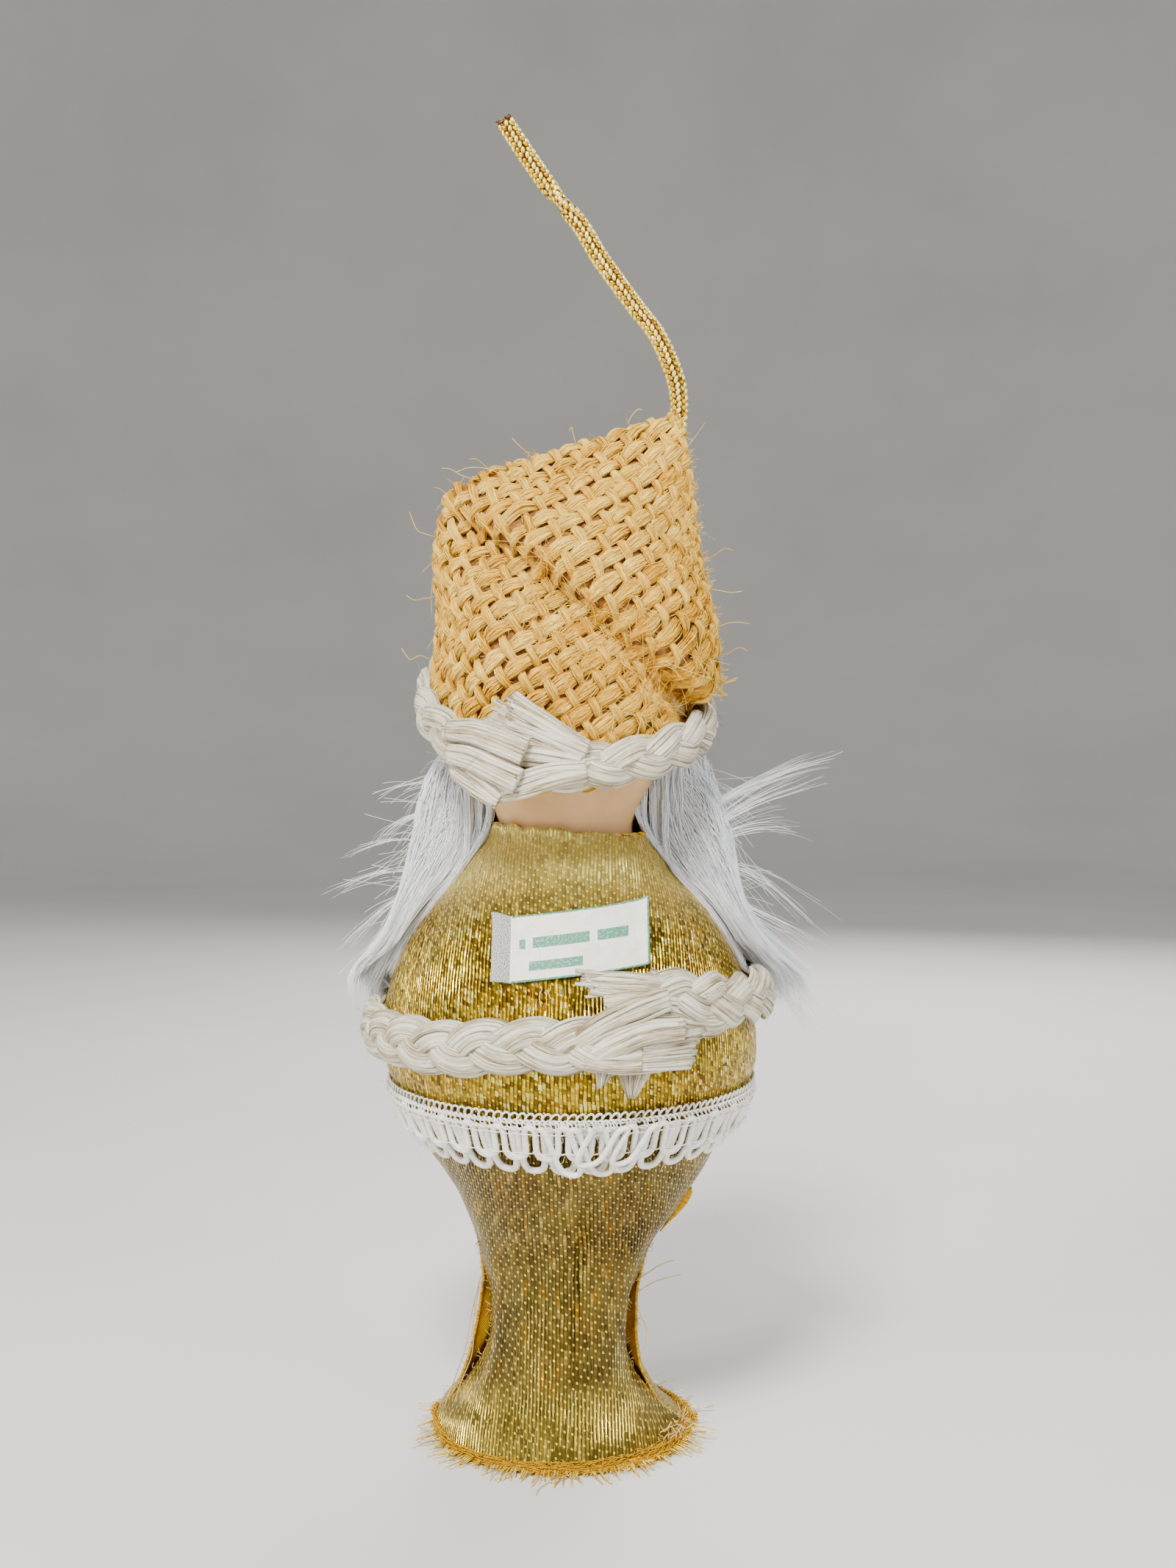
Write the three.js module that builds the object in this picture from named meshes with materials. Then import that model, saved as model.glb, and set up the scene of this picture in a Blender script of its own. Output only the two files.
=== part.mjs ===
// Tomte gnome figurine: a pear-shaped foam body on a post and card disc, wrapped in two metallic
// cloth panels, with a moulded head, a fur-fabric beard, a burlap hat closed flat at the top,
// braided bands at hat and waist, a gimp trim round the skirt, a paper label and a stiff hanging cord.
// Units mm. +Z up, the gnome faces -Y, origin at the centre of the base disc's underside.
import * as THREE from "three";
import { mergeVertices } from "three/addons/utils/BufferGeometryUtils.js";

// ---------- driving dimensions ----------
const GAP = 0.35; // clearance between glued neighbours
const CLOTH_T = 0.8; // robe cloth with its backing
const HEM_Z = 0.4; // lowest edge of the robe
const COLLAR_Z = 119.4; // top edge of the robe
const SEAM_L = 84; // degrees from the back centre towards +X where the panels meet
const SEAM_R = -80; // the other seam, towards -X
const SLIT_LOW = 4, SLIT_HIGH = 36, SLIT_MID = 20; // heights over which the panels part
const SLIT_OPEN = 1.9; // half opening at mid height
const DISC_R = 21.4, DISC_T = 1.8;
const POST_R = 8, POST_TOP = 35.6;
const CORE_BOTTOM = 36, CORE_TOP = 111.2;
const HEAD_R = 23.6, HEAD_TOP = 160;
const NECK_R = 13.2;
const BAND_RIN = 26.3, BAND_T = 3.4, BAND_H = 8.8; // hat braid
const HAT_T = 1.4; // burlap wall
const HAT_RIM_R = 25.9; // outer radius at the rim
const BELT_T = 4.0, BELT_H = 8.6; // waist braid
const GIMP_LOW = 57.6, GIMP_TOP = 70.3, GIMP_T = 1.3, GIMP_REPEATS = 36;
const LABEL_W = 27.6, LABEL_T = 0.3;
const CORD_D = 3.4; // hanging cord
const BEARD_T = 1.0; // knitted backing

// outer radius of the robe towards +X and towards -X at each height
const ROBE = [
  [0.4, 26.2, 25.6], [2.2, 25.6, 22.8], [4.4, 24.7, 20.0], [8.8, 22.0, 17.1], [13.2, 20.6, 15.2],
  [20.0, 19.1, 14.5], [26.2, 17.7, 14.5], [30.6, 16.9, 15.2], [35.0, 17.1, 16.2], [39.4, 18.1, 18.5],
  [43.8, 19.7, 21.9], [48.2, 21.6, 24.6], [52.5, 24.3, 27.4], [58.0, 28.3, 30.3], [64.0, 31.5, 33.5],
  [70.1, 34.2, 36.3], [74.5, 35.8, 37.6], [79.0, 36.2, 37.7], [83.3, 35.8, 37.0], [87.7, 34.9, 35.9],
  [92.1, 33.4, 34.2], [96.4, 31.2, 32.0], [100.8, 28.3, 29.4], [105.2, 24.9, 26.0], [109.5, 21.2, 21.6],
  [113.9, 17.9, 18.6], [117.0, 15.6, 16.2], [119.4, 14.8, 15.0],
];
const D2R = Math.PI / 180;
const lerp = (a, b, t) => a + (b - a) * t;
const clamp = (x, a, b) => Math.min(b, Math.max(a, x));
const smooth = (a, b, x) => { const t = clamp((x - a) / (b - a), 0, 1); return t * t * (3 - 2 * t); };

function table(rows, z) {
  if (z <= rows[0][0]) return rows[0].slice(1);
  for (let i = 1; i < rows.length; i++) {
    if (z <= rows[i][0]) {
      const t = (z - rows[i - 1][0]) / (rows[i][0] - rows[i - 1][0]);
      return rows[i].slice(1).map((v, k) => lerp(rows[i - 1][k + 1], v, t));
    }
  }
  return rows[rows.length - 1].slice(1);
}
// deg is measured from the back centre (+Y) towards +X
function robeR(deg, z) {
  const [l, r] = table(ROBE, z);
  return (l + r) / 2 + ((l - r) / 2) * Math.sin(deg * D2R);
}
const polar = (deg, r, z) => [r * Math.sin(deg * D2R), r * Math.cos(deg * D2R), z];

// ---------- closed bodies from grids ----------
function solidFrom(pos, idx) {
  let vol = 0;
  for (let i = 0; i < idx.length; i += 3) {
    const [a, b, c] = [pos[idx[i]], pos[idx[i + 1]], pos[idx[i + 2]]];
    vol += a[0] * (b[1] * c[2] - b[2] * c[1]) - a[1] * (b[0] * c[2] - b[2] * c[0]) + a[2] * (b[0] * c[1] - b[1] * c[0]);
  }
  const g = new THREE.BufferGeometry();
  g.setAttribute("position", new THREE.Float32BufferAttribute(pos.flat(), 3));
  if (vol < 0) for (let i = 0; i < idx.length; i += 3) [idx[i + 1], idx[i + 2]] = [idx[i + 2], idx[i + 1]];
  g.setIndex(idx);
  g.computeVertexNormals();
  return g;
}
// a patch with a thickness: a(u,v) is one face, b(u,v) the other
function patchSolid(us, vs, a, b) {
  const nu = us.length, nv = vs.length, pos = [], idx = [];
  for (const f of [a, b]) for (const v of vs) for (const u of us) pos.push(f(u, v));
  const A = (i, j) => j * nu + i, B = (i, j) => nu * nv + j * nu + i;
  for (let j = 0; j < nv - 1; j++) for (let i = 0; i < nu - 1; i++) {
    idx.push(A(i, j), A(i + 1, j), A(i + 1, j + 1), A(i, j), A(i + 1, j + 1), A(i, j + 1));
    idx.push(B(i, j), B(i + 1, j + 1), B(i + 1, j), B(i, j), B(i, j + 1), B(i + 1, j + 1));
  }
  const loop = [];
  for (let i = 0; i < nu - 1; i++) loop.push([i, 0]);
  for (let j = 0; j < nv - 1; j++) loop.push([nu - 1, j]);
  for (let i = nu - 1; i > 0; i--) loop.push([i, nv - 1]);
  for (let j = nv - 1; j > 0; j--) loop.push([0, j]);
  loop.forEach(([i, j], k) => {
    const [m, n] = loop[(k + 1) % loop.length];
    idx.push(A(m, n), A(i, j), B(i, j), A(m, n), B(i, j), B(m, n));
  });
  return solidFrom(pos, idx);
}
// rings[j][i] points; rings follow one another round the section, closed both ways
function torusSolid(rings) {
  const n = rings[0].length, m = rings.length, pos = rings.flat(), idx = [];
  for (let j = 0; j < m; j++) for (let i = 0; i < n; i++) {
    const a = j * n + i, b = j * n + ((i + 1) % n), c = ((j + 1) % m) * n + ((i + 1) % n), d = ((j + 1) % m) * n + i;
    idx.push(a, b, c, a, c, d);
  }
  return solidFrom(pos, idx);
}
// rings from one end to the other, each end closed with a fan
function cappedSolid(rings) {
  const n = rings[0].length, m = rings.length, pos = rings.flat(), idx = [];
  for (let j = 0; j < m - 1; j++) for (let i = 0; i < n; i++) {
    const a = j * n + i, b = j * n + ((i + 1) % n), c = (j + 1) * n + ((i + 1) % n), d = (j + 1) * n + i;
    idx.push(a, b, c, a, c, d);
  }
  const mid = (r) => [0, 1, 2].map((k) => r.reduce((s, p) => s + p[k], 0) / r.length);
  pos.push(mid(rings[0]), mid(rings[m - 1]));
  const s = pos.length - 2, e = pos.length - 1;
  for (let i = 0; i < n; i++) {
    idx.push(s, (i + 1) % n, i);
    idx.push(e, (m - 1) * n + i, (m - 1) * n + ((i + 1) % n));
  }
  return solidFrom(pos, idx);
}
const range = (n, a, b) => Array.from({ length: n + 1 }, (_, i) => lerp(a, b, i / n));

const group = new THREE.Group();
group.name = "tomte_gnome";
function add(name, geometry, colour, rough = 0.8, metal = 0) {
  const m = new THREE.MeshStandardMaterial({ color: new THREE.Color(...colour), roughness: rough, metalness: metal, name: name + "_mat" });
  const mesh = new THREE.Mesh(geometry, m);
  mesh.name = name;
  group.add(mesh);
  return mesh;
}
function lathe(profile, segments) {
  const g = new THREE.LatheGeometry(profile.map(([r, z]) => new THREE.Vector2(r, z)), segments);
  g.rotateX(Math.PI / 2);
  g.deleteAttribute("uv"); g.deleteAttribute("normal");
  const w = mergeVertices(g, 1e-4), p = w.getAttribute("position"), ix = w.getIndex().array, pos = [], idx = [];
  for (let i = 0; i < p.count; i++) pos.push([p.getX(i), p.getY(i), p.getZ(i)]);
  for (let i = 0; i < ix.length; i += 3) {
    const [a, b, c] = [ix[i], ix[i + 1], ix[i + 2]];
    if (a !== b && b !== c && a !== c) idx.push(a, b, c);
  }
  return solidFrom(pos, idx);
}

// ---------- base disc and post ----------
add("base_disc", lathe([[0, 0], [DISC_R, 0], [DISC_R, DISC_T], [0, DISC_T]], 40), [0.45, 0.36, 0.26], 0.9);
add("leg_post", lathe([[0, DISC_T + GAP], [POST_R, DISC_T + GAP], [POST_R, POST_TOP], [0, POST_TOP]], 24), [0.6, 0.47, 0.32], 0.85);

// ---------- body core ----------
{
  const zs = [CORE_BOTTOM, 39.4, 43.8, 48.2, 52.5, 58, 64, 70.1, 74.5, 79, 83.3, 87.7, 92.1, 96.4, 100.8, 105.2, 108.6, CORE_TOP];
  const degs = range(26, 0, 360).slice(0, -1).map((d) => d);
  const rings = zs.map((z) => degs.map((d) => polar(d, robeR(d, z) - CLOTH_T - GAP - 0.25, z)));
  add("body_core", cappedSolid(rings), [0.9, 0.88, 0.82], 0.95);
}

// ---------- robe panels ----------
const robeZ = ROBE.map((r) => r[0]);
const slit = (z) => (z <= SLIT_LOW || z >= SLIT_HIGH ? 0 : SLIT_OPEN * (z < SLIT_MID ? smooth(SLIT_LOW, SLIT_MID, z) : 1 - smooth(SLIT_MID, SLIT_HIGH, z)));
function panel(from, to, bulge, n) {
  // the cloth edges draw back at the slits; the front panel also flares a little there
  const edge = (z, r) => ((0.25 + slit(z)) / r) / D2R;
  const f = (off) => (u, z) => {
    const r0 = robeR(lerp(from, to, u), z);
    const lo = from + edge(z, r0), hi = to - edge(z, r0), d = lerp(lo, hi, u);
    const near = Math.pow(Math.abs(2 * u - 1), 10);
    return polar(d, robeR(d, z) - off + bulge * near * (slit(z) / SLIT_OPEN), z);
  };
  return patchSolid(range(n, 0, 1), robeZ, f(0), f(CLOTH_T));
}
add("robe_back_panel", panel(SEAM_R, SEAM_L, -0.6, 17), [0.72, 0.58, 0.22], 0.35, 0.6);
add("robe_front_panel", panel(SEAM_L, SEAM_R + 360, 1.0, 20), [0.72, 0.58, 0.22], 0.35, 0.6);

// ---------- head ----------
add("head", lathe([[0, CORE_TOP + GAP], [NECK_R, CORE_TOP + GAP], [NECK_R, 119.2], [14.1, 122], [17.3, 128.5], [20.6, 134], [22.7, 138.5], [HEAD_R, 143.5], [22.7, 149], [19.6, 154], [12, 158.4], [0, HEAD_TOP]], 30), [0.93, 0.72, 0.6], 0.6);

function blob(cx, cy, cz, rx, ry, rz, wseg, hseg, squash) {
  const prof = [];
  for (let k = 0; k <= hseg; k++) { const a = -Math.PI / 2 + (Math.PI * k) / hseg; prof.push([Math.max(0, Math.cos(a)), Math.sin(a)]); }
  prof[0][0] = 0; prof[hseg][0] = 0;
  const g = lathe(prof, wseg);
  g.scale(rx, rz === undefined ? ry : ry, rz);
  g.translate(cx, cy, cz);
  if (squash) squash(g);
  g.computeVertexNormals();
  return g;
}
// keep a feature clear of the head by pushing its inner side out to a given radius
function clearOf(radius) {
  return (g) => {
    const p = g.getAttribute("position");
    for (let i = 0; i < p.count; i++) {
      const x = p.getX(i), y = p.getY(i), lim = radius;
      const r = Math.hypot(x, y);
      if (r < lim) { const yy = -Math.sqrt(Math.max(0, lim * lim - x * x)); p.setY(i, yy - 0.02 * (lim - r)); }
    }
  };
}
add("nose", blob(0, -26.4, 144.4, 4.4, 4.2, 4.2, 20, 12, clearOf(24.0)), [0.93, 0.66, 0.55], 0.5);
add("eye_left", blob(8.6, -23.0, 147.3, 1.55, 1.5, 1.6, 12, 8, clearOf(24.0)), [0.03, 0.03, 0.03], 0.1);
add("eye_right", blob(-8.6, -23.0, 147.3, 1.55, 1.5, 1.6, 12, 8, clearOf(24.0)), [0.03, 0.03, 0.03], 0.1);

// ---------- hat band, a braid round the rim of the hat ----------
const BAND_LINE = [[-180, 154.6], [-150, 152.0], [-120, 146.4], [-90, 140.4], [-60, 136.6], [-40, 133.9], [-20, 132.1], [0, 131.2], [10, 131.2], [20, 131.9], [35, 133.7], [52, 137.0], [70, 140.6], [90, 144.6], [114, 150.2], [140, 153.8], [165, 155.0], [180, 154.6]];
// height of the braid's middle, degrees from the back centre towards +X
const bandZ = (deg) => table(BAND_LINE, ((deg + 180) % 360 + 360) % 360 - 180)[0];
{
  const sec = []; // rounded section, (radial, vertical)
  for (let k = 0; k < 10; k++) { const a = (k / 10) * 2 * Math.PI; const c = Math.cos(a), s = Math.sin(a); sec.push([Math.sign(c) * Math.pow(Math.abs(c), 0.7) * BAND_T / 2, Math.sign(s) * Math.pow(Math.abs(s), 0.7) * BAND_H / 2]); }
  const degs = range(48, 0, 360).slice(0, -1);
  const rings = degs.map((d) => sec.map(([r, h]) => polar(d, BAND_RIN + BAND_T / 2 + r, bandZ(d) + h)));
  add("hat_band_braid", torusSolid(rings), [0.9, 0.87, 0.8], 0.7);
}

// ---------- hat: a burlap tube, round at the rim and pressed flat along a slanted top seam ----------
// s = 0 at the rim, 1 at the top seam; lists are s, x towards +X, x towards -X, half depth
const HAT = [
  [0.0, 25.9, 25.9, 25.9], [0.1, 25.9, 26.3, 26.0], [0.2, 25.9, 27.2, 25.9], [0.32, 26.0, 27.4, 25.3], [0.45, 26.2, 26.9, 23.4],
  [0.58, 26.2, 26.2, 20.2], [0.7, 26.0, 25.4, 16.3], [0.8, 25.6, 24.6, 12.1], [0.89, 25.0, 23.9, 7.6], [0.96, 24.5, 23.0, 3.6], [1.0, 24.0, 21.4, 1.1],
];
const hatTopZ = (x) => 193.4 - (x / 22.6) * 7.6; // slanted seam, lower towards +X
function hatPoint(deg, s, inset) {
  const [xl, xr, dep] = table(HAT, s);
  const sn = Math.sin(deg * D2R), cs = Math.cos(deg * D2R);
  const hx = Math.max(0.3, (sn > 0 ? xl : xr) - inset), hd = Math.max(0.28, dep - inset);
  const x = sn * hx, y = cs * hd;
  const rim = bandZ(deg) - 3.6;
  let z = lerp(rim, hatTopZ(x), s);
  return [x, y, z];
}
{
  const degs = range(40, 0, 360).slice(0, -1);
  const ss = HAT.map((r) => r[0]);
  const outer = ss.map((s) => degs.map((d) => hatPoint(d, s, 0)));
  const inner = ss.slice(0, -1).reverse().map((s) => degs.map((d) => { const p = hatPoint(d, s, HAT_T); return p; }));
  // the top closes across the seam, so outer and inner skins are joined at the rim only
  const n = degs.length, pos = [], idx = [];
  const rings = outer; rings.forEach((r) => pos.push(...r));
  const innerBase = pos.length; inner.forEach((r) => pos.push(...r));
  const quad = (a, b, c, d) => idx.push(a, b, c, a, c, d);
  for (let j = 0; j < rings.length - 1; j++) for (let i = 0; i < n; i++) quad(j * n + i, j * n + ((i + 1) % n), (j + 1) * n + ((i + 1) % n), (j + 1) * n + i);
  const cap = (base, flip) => { for (let k = 0; k < n / 2 - 1; k++) { const a = base + ((10 + k) % n), b = base + ((10 + k + 1) % n), c = base + ((10 - k - 1 + n) % n), d = base + ((10 - k + n) % n); if (k === 0) { flip ? idx.push(a, c, b) : idx.push(a, b, c); } else if (k === n / 2 - 1) { flip ? idx.push(a, d, b) : idx.push(a, b, d); } else { flip ? idx.push(a, c, b, a, d, c) : idx.push(a, b, c, a, c, d); } } const k = n / 2 - 1; const a = base + ((10 + k) % n), b = base + ((10 + k + 1) % n), d = base + ((10 - k + n) % n); flip ? idx.push(a, d, b) : idx.push(a, b, d); };
  cap((rings.length - 1) * n, false);
  const m = inner.length;
  for (let j = 0; j < m - 1; j++) for (let i = 0; i < n; i++) quad(innerBase + j * n + i, innerBase + j * n + ((i + 1) % n), innerBase + (j + 1) * n + ((i + 1) % n), innerBase + (j + 1) * n + i);
  cap(innerBase, true);
  for (let i = 0; i < n; i++) quad(innerBase + (m - 1) * n + i, innerBase + (m - 1) * n + ((i + 1) % n), ((i + 1) % n), i);
  add("hat_shell", solidFrom(pos, idx), [0.8, 0.65, 0.4], 0.95);
}

// ---------- belt: one braid, its two ends passing one above the other at the back ----------
const BELT_A = -8, BELT_B = -390; // degrees of the upper end and of the lower end, going round by -X and the front
const beltZ = (d) => {
  const t = table([[-390, 80.9], [-374, 81.9], [-350, 81.6], [-320, 80.0], [-270, 80.2], [-180, 82.6], [-120, 85.6], [-90, 86.8], [-60, 87.4], [-45, 88.4], [-30, 90.0], [-8, 92.8]], d)[0];
  return t;
};
const beltIn = (d, z) => { let r = 0; for (const dz of [-4.3, -2.2, 0, 2.2, 4.3]) r = Math.max(r, robeR(d, z + dz)); return r + GAP; };
{
  const sec = [];
  for (let k = 0; k < 8; k++) { const a = ((k + 0.5) / 8) * 2 * Math.PI; const c = Math.cos(a), s = Math.sin(a); sec.push([Math.sign(c) * Math.pow(Math.abs(c), 0.75) * BELT_T / 2 / 0.943, Math.sign(s) * Math.pow(Math.abs(s), 0.75) * BELT_H / 2 / 0.943]); }
  const rings = range(60, BELT_A, BELT_B).map((d) => { const z = beltZ(d), rin = beltIn(d, z); return sec.map(([r, h]) => polar(d, rin + BELT_T / 2 + r, z + h)); });
  add("belt_braid", cappedSolid(rings), [0.9, 0.87, 0.8], 0.7);
}

// ---------- gimp trim: a scalloped ring of looped cord, drawn as one band ----------
{
  const n = GIMP_REPEATS * 4;
  const low = (i) => GIMP_LOW + [0, 0.75, 2.4, 0.75][i % 4];
  const rings = [];
  const at = (i, v, off) => {
    const d = (i / n) * 360, z = v === 0 ? low(i) : v === 1 ? 64 : GIMP_TOP;
    return polar(d, robeR(d, z) + off, z);
  };
  for (let i = 0; i < n; i++) rings.push([at(i, 0, GAP), at(i, 1, GAP), at(i, 2, GAP), at(i, 2, GAP + GIMP_T), at(i, 1, GAP + GIMP_T), at(i, 0, GAP + GIMP_T)]);
  add("skirt_gimp", torusSolid(rings), [0.93, 0.93, 0.92], 0.5);
}

// ---------- paper label on the back of the robe ----------
{
  const f = (off) => (x, v) => {
    const zc = 99.0 - x * 0.116, half = 5.6;
    const z = zc + half * v;
    // follow the robe in plan, and its slope in height
    let deg = 0;
    for (let k = 0; k < 12; k++) deg = Math.asin(clamp(x / (robeR(deg, z) + off), -0.95, 0.95)) / D2R;
    const slope = (robeR(deg, z + 1) - robeR(deg, z - 1)) / 2, c = 1 / Math.hypot(1, slope);
    const p = polar(deg, robeR(deg, z) + GAP + 0.15 + off * c, z - off * c * slope);
    return p;
  };
  add("paper_label", patchSolid(range(10, -LABEL_W / 2 - 1.4, LABEL_W / 2 - 1.4), range(6, -1, 1), f(0), f(LABEL_T)), [0.93, 0.92, 0.88], 0.8);
}

// ---------- beard: fur fabric over the cheeks and chest ----------
// deg here is measured from the front (-Y) towards +X
const front = (deg, r, z) => [r * Math.sin(deg * D2R), -r * Math.cos(deg * D2R), z];
const BACK_R = [[96.8, 33.0], [100.8, 30.2], [105.2, 26.9], [109.5, 23.0], [114, 19.9], [118, 18.4], [122, 18.0], [126, 18.4], [130, 20.0], [134, 22.4], [137, 24.2]];
const beardTop = (deg) => table([[0, 130.4], [15, 130.8], [30, 131.9], [50, 133.6], [70, 134.6], [100, 134.6]], Math.abs(deg))[0];
{
    const f = (off) => (deg0, v) => { const z = lerp(96.8, beardTop(deg0), v), deg = deg0 * lerp(0.76, 1, smooth(104, 118, z)); return front(deg, table(BACK_R, z)[0] + off, z); };
  add("beard_backing", patchSolid(range(22, -98, 98), range(12, 0, 1), f(0), f(BEARD_T)), [0.88, 0.84, 0.72], 0.9);
}
{
  const RIN = [[64, 43.2], [70, 42.9], [76, 42.7], [84, 42.7], [91, 42.7], [93.5, 41.6], [96.8, 35.9], [100.8, 32.3], [105.2, 28.9], [109.5, 25.1], [114, 22.1], [118, 20.5], [122, 20.0], [126, 20.3], [130, 21.8], [134, 24.1], [137, 26.0]];
  const ROUT = [[64, 44.6], [67, 46.0], [72, 47.2], [80, 47.9], [88, 47.6], [93, 45.8], [97, 41.6], [103, 37.8], [109.5, 35.2], [115, 34.0], [122, 33.4], [128, 32.0], [132, 29.6], [135, 27.4]];
  // at the sides the hair hangs close to the neck and shoulders
  const RSIDE = [[64, 44.6], [84, 44.6], [88, 43.8], [91, 41.4], [94, 38.9], [97.6, 36.6], [103, 34.0], [109, 32.0], [117, 30.9], [121, 30.2], [126, 29.8], [135, 28.6]];
  const bot = (deg) => table([[0, 64], [20, 66], [40, 71.5], [60, 79.5], [75, 88.5], [92, 96.0]], Math.abs(deg))[0];
  const f = (outer) => (deg, v) => {
    const z = lerp(bot(deg), beardTop(deg), v);
    const rin = table(RIN, z)[0];
    if (!outer) return front(deg, rin, z);
    const edge = Math.min(1, Math.min(v, 1 - v) * 6, (92.5 - Math.abs(deg)) / 14);
    const r = Math.max(rin + 1.0, lerp(rin + 1.0, lerp(table(ROUT, z)[0], table(RSIDE, z)[0], smooth(50, 84, Math.abs(deg))), clamp(edge, 0, 1)));
    return front(deg, r, z);
  };
  add("beard_fur", patchSolid(range(26, -92, 92), [0, 0.05, 0.12, 0.2, 0.3, 0.4, 0.5, 0.6, 0.7, 0.8, 0.88, 0.95, 1], f(true), f(false)), [0.92, 0.93, 0.95], 0.95);
}

// ---------- moustache ----------
for (const [name, s] of [["moustache_left", 1], ["moustache_right", -1]]) {
  const spine = [[0.9, 26.6, 136.0, 1.6], [3.0, 27.7, 135.9, 2.9], [6.4, 27.9, 135.5, 3.2], [10.0, 27.0, 135.5, 2.8], [13.6, 25.4, 136.4, 2.0], [16.6, 23.4, 138.2, 1.1], [17.8, 22.6, 139.6, 0.5]];
  const rings = spine.map(([x, y, z, r], k) => {
    const ring = [];
    for (let i = 0; i < 10; i++) { const a = (i / 10) * 2 * Math.PI; ring.push([s * x, -y - 0.85 * r * Math.cos(a), z + r * Math.sin(a)]); }
    return ring;
  });
  add(name, cappedSolid(rings), [0.94, 0.95, 0.96], 0.95);
}

// ---------- hanging cord, glued to the front side of the hat's high corner ----------
{
  const path = [[-20.4, -9.9, 188.2], [-21.2, -7.4, 192.0], [-21.9, -5.2, 196.4], [-22.4, -4.0, 201.3], [-22.0, -3.0, 206.3], [-20.2, -2.0, 211.4], [-17.6, -1.2, 216.4], [-13.6, -0.6, 221.4], [-9.8, -0.2, 226.4], [-6.2, 0, 231.4], [-3.2, 0, 236.5], [3.7, 0, 245.0], [12.0, 0, 257.2]];
  const curve = new THREE.CatmullRomCurve3(path.map((p) => new THREE.Vector3(...p)), false, "centripetal");
  const shape = new THREE.Shape();
  for (let i = 0; i < 8; i++) { const a = (i / 8) * 2 * Math.PI; const x = (CORD_D / 2) * Math.cos(a), y = (CORD_D / 2) * Math.sin(a); i ? shape.lineTo(x, y) : shape.moveTo(x, y); }
  shape.closePath();
  const g = new THREE.ExtrudeGeometry(shape, { steps: 22, bevelEnabled: false, extrudePath: curve });
  add("hanging_cord", g, [0.85, 0.62, 0.15], 0.4, 0.5);
}

export default group;
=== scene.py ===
# Looks for the tomte gnome figurine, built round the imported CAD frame. Lengths in this file are millimetres
# until a mesh is made, when they become metres.
import math
import bpy
import numpy as np
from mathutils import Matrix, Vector


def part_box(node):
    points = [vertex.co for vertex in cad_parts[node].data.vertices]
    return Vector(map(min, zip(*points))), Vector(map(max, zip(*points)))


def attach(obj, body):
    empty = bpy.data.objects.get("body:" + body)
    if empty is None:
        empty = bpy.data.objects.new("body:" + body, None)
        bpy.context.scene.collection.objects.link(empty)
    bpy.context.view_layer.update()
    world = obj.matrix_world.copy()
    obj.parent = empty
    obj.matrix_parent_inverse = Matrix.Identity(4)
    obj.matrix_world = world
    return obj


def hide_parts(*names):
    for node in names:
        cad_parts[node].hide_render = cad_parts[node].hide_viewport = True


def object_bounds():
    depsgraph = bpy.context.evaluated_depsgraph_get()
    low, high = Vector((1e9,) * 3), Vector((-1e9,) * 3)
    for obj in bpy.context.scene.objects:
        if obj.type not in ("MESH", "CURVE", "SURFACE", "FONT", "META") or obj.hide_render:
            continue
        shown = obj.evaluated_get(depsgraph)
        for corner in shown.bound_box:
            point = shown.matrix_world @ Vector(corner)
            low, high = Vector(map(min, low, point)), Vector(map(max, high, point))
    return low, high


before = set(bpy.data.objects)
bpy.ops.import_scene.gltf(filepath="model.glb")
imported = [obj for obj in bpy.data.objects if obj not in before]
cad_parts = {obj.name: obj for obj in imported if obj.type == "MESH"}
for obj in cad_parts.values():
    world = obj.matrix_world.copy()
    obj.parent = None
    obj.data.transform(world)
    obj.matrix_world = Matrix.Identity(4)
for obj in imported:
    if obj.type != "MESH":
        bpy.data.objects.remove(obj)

CAD_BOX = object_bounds()
MM = 0.001
RNG = np.random.default_rng(20)
TAU = 2 * math.pi

# ------------------------------------------------------------------ camera
cam_data = bpy.data.cameras.new("camera")
cam = bpy.data.objects.new("camera", cam_data)
bpy.context.scene.collection.objects.link(cam)
cam_data.sensor_width = 36.0
cam_data.lens = 41.86
cam_data.clip_start, cam_data.clip_end = 0.01, 20
cam.location = (-0.00435, 0.360, 0.137)
cam.rotation_euler = (math.radians(90 - 1.5), 0, math.radians(180))
bpy.context.scene.camera = cam


# ------------------------------------------------------------------ numbers shared with the CAD
ROBE = np.array([
    [0.4, 26.2, 25.6], [2.2, 25.6, 22.8], [4.4, 24.7, 20.0], [8.8, 22.0, 17.1], [13.2, 20.6, 15.2],
    [20.0, 19.1, 14.5], [26.2, 17.7, 14.5], [30.6, 16.9, 15.2], [35.0, 17.1, 16.2], [39.4, 18.1, 18.5],
    [43.8, 19.7, 21.9], [48.2, 21.6, 24.6], [52.5, 24.3, 27.4], [58.0, 28.3, 30.3], [64.0, 31.5, 33.5],
    [70.1, 34.2, 36.3], [74.5, 35.8, 37.6], [79.0, 36.2, 37.7], [83.3, 35.8, 37.0], [87.7, 34.9, 35.9],
    [92.1, 33.4, 34.2], [96.4, 31.2, 32.0], [100.8, 28.3, 29.4], [105.2, 24.9, 26.0], [109.5, 21.2, 21.6],
    [113.9, 17.9, 18.6], [117.0, 15.6, 16.2], [119.4, 14.8, 15.0]])
HAT = np.array([
    [0.0, 25.9, 25.9, 25.9], [0.1, 25.9, 26.3, 26.0], [0.2, 25.9, 27.2, 25.9], [0.32, 26.0, 27.4, 25.3], [0.45, 26.2, 26.9, 23.4],
    [0.58, 26.2, 26.2, 20.2], [0.7, 26.0, 25.4, 16.3], [0.8, 25.6, 24.6, 12.1], [0.89, 25.0, 23.9, 7.6], [0.96, 24.5, 23.0, 3.9], [1.0, 24.0, 21.6, 2.6]])
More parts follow.
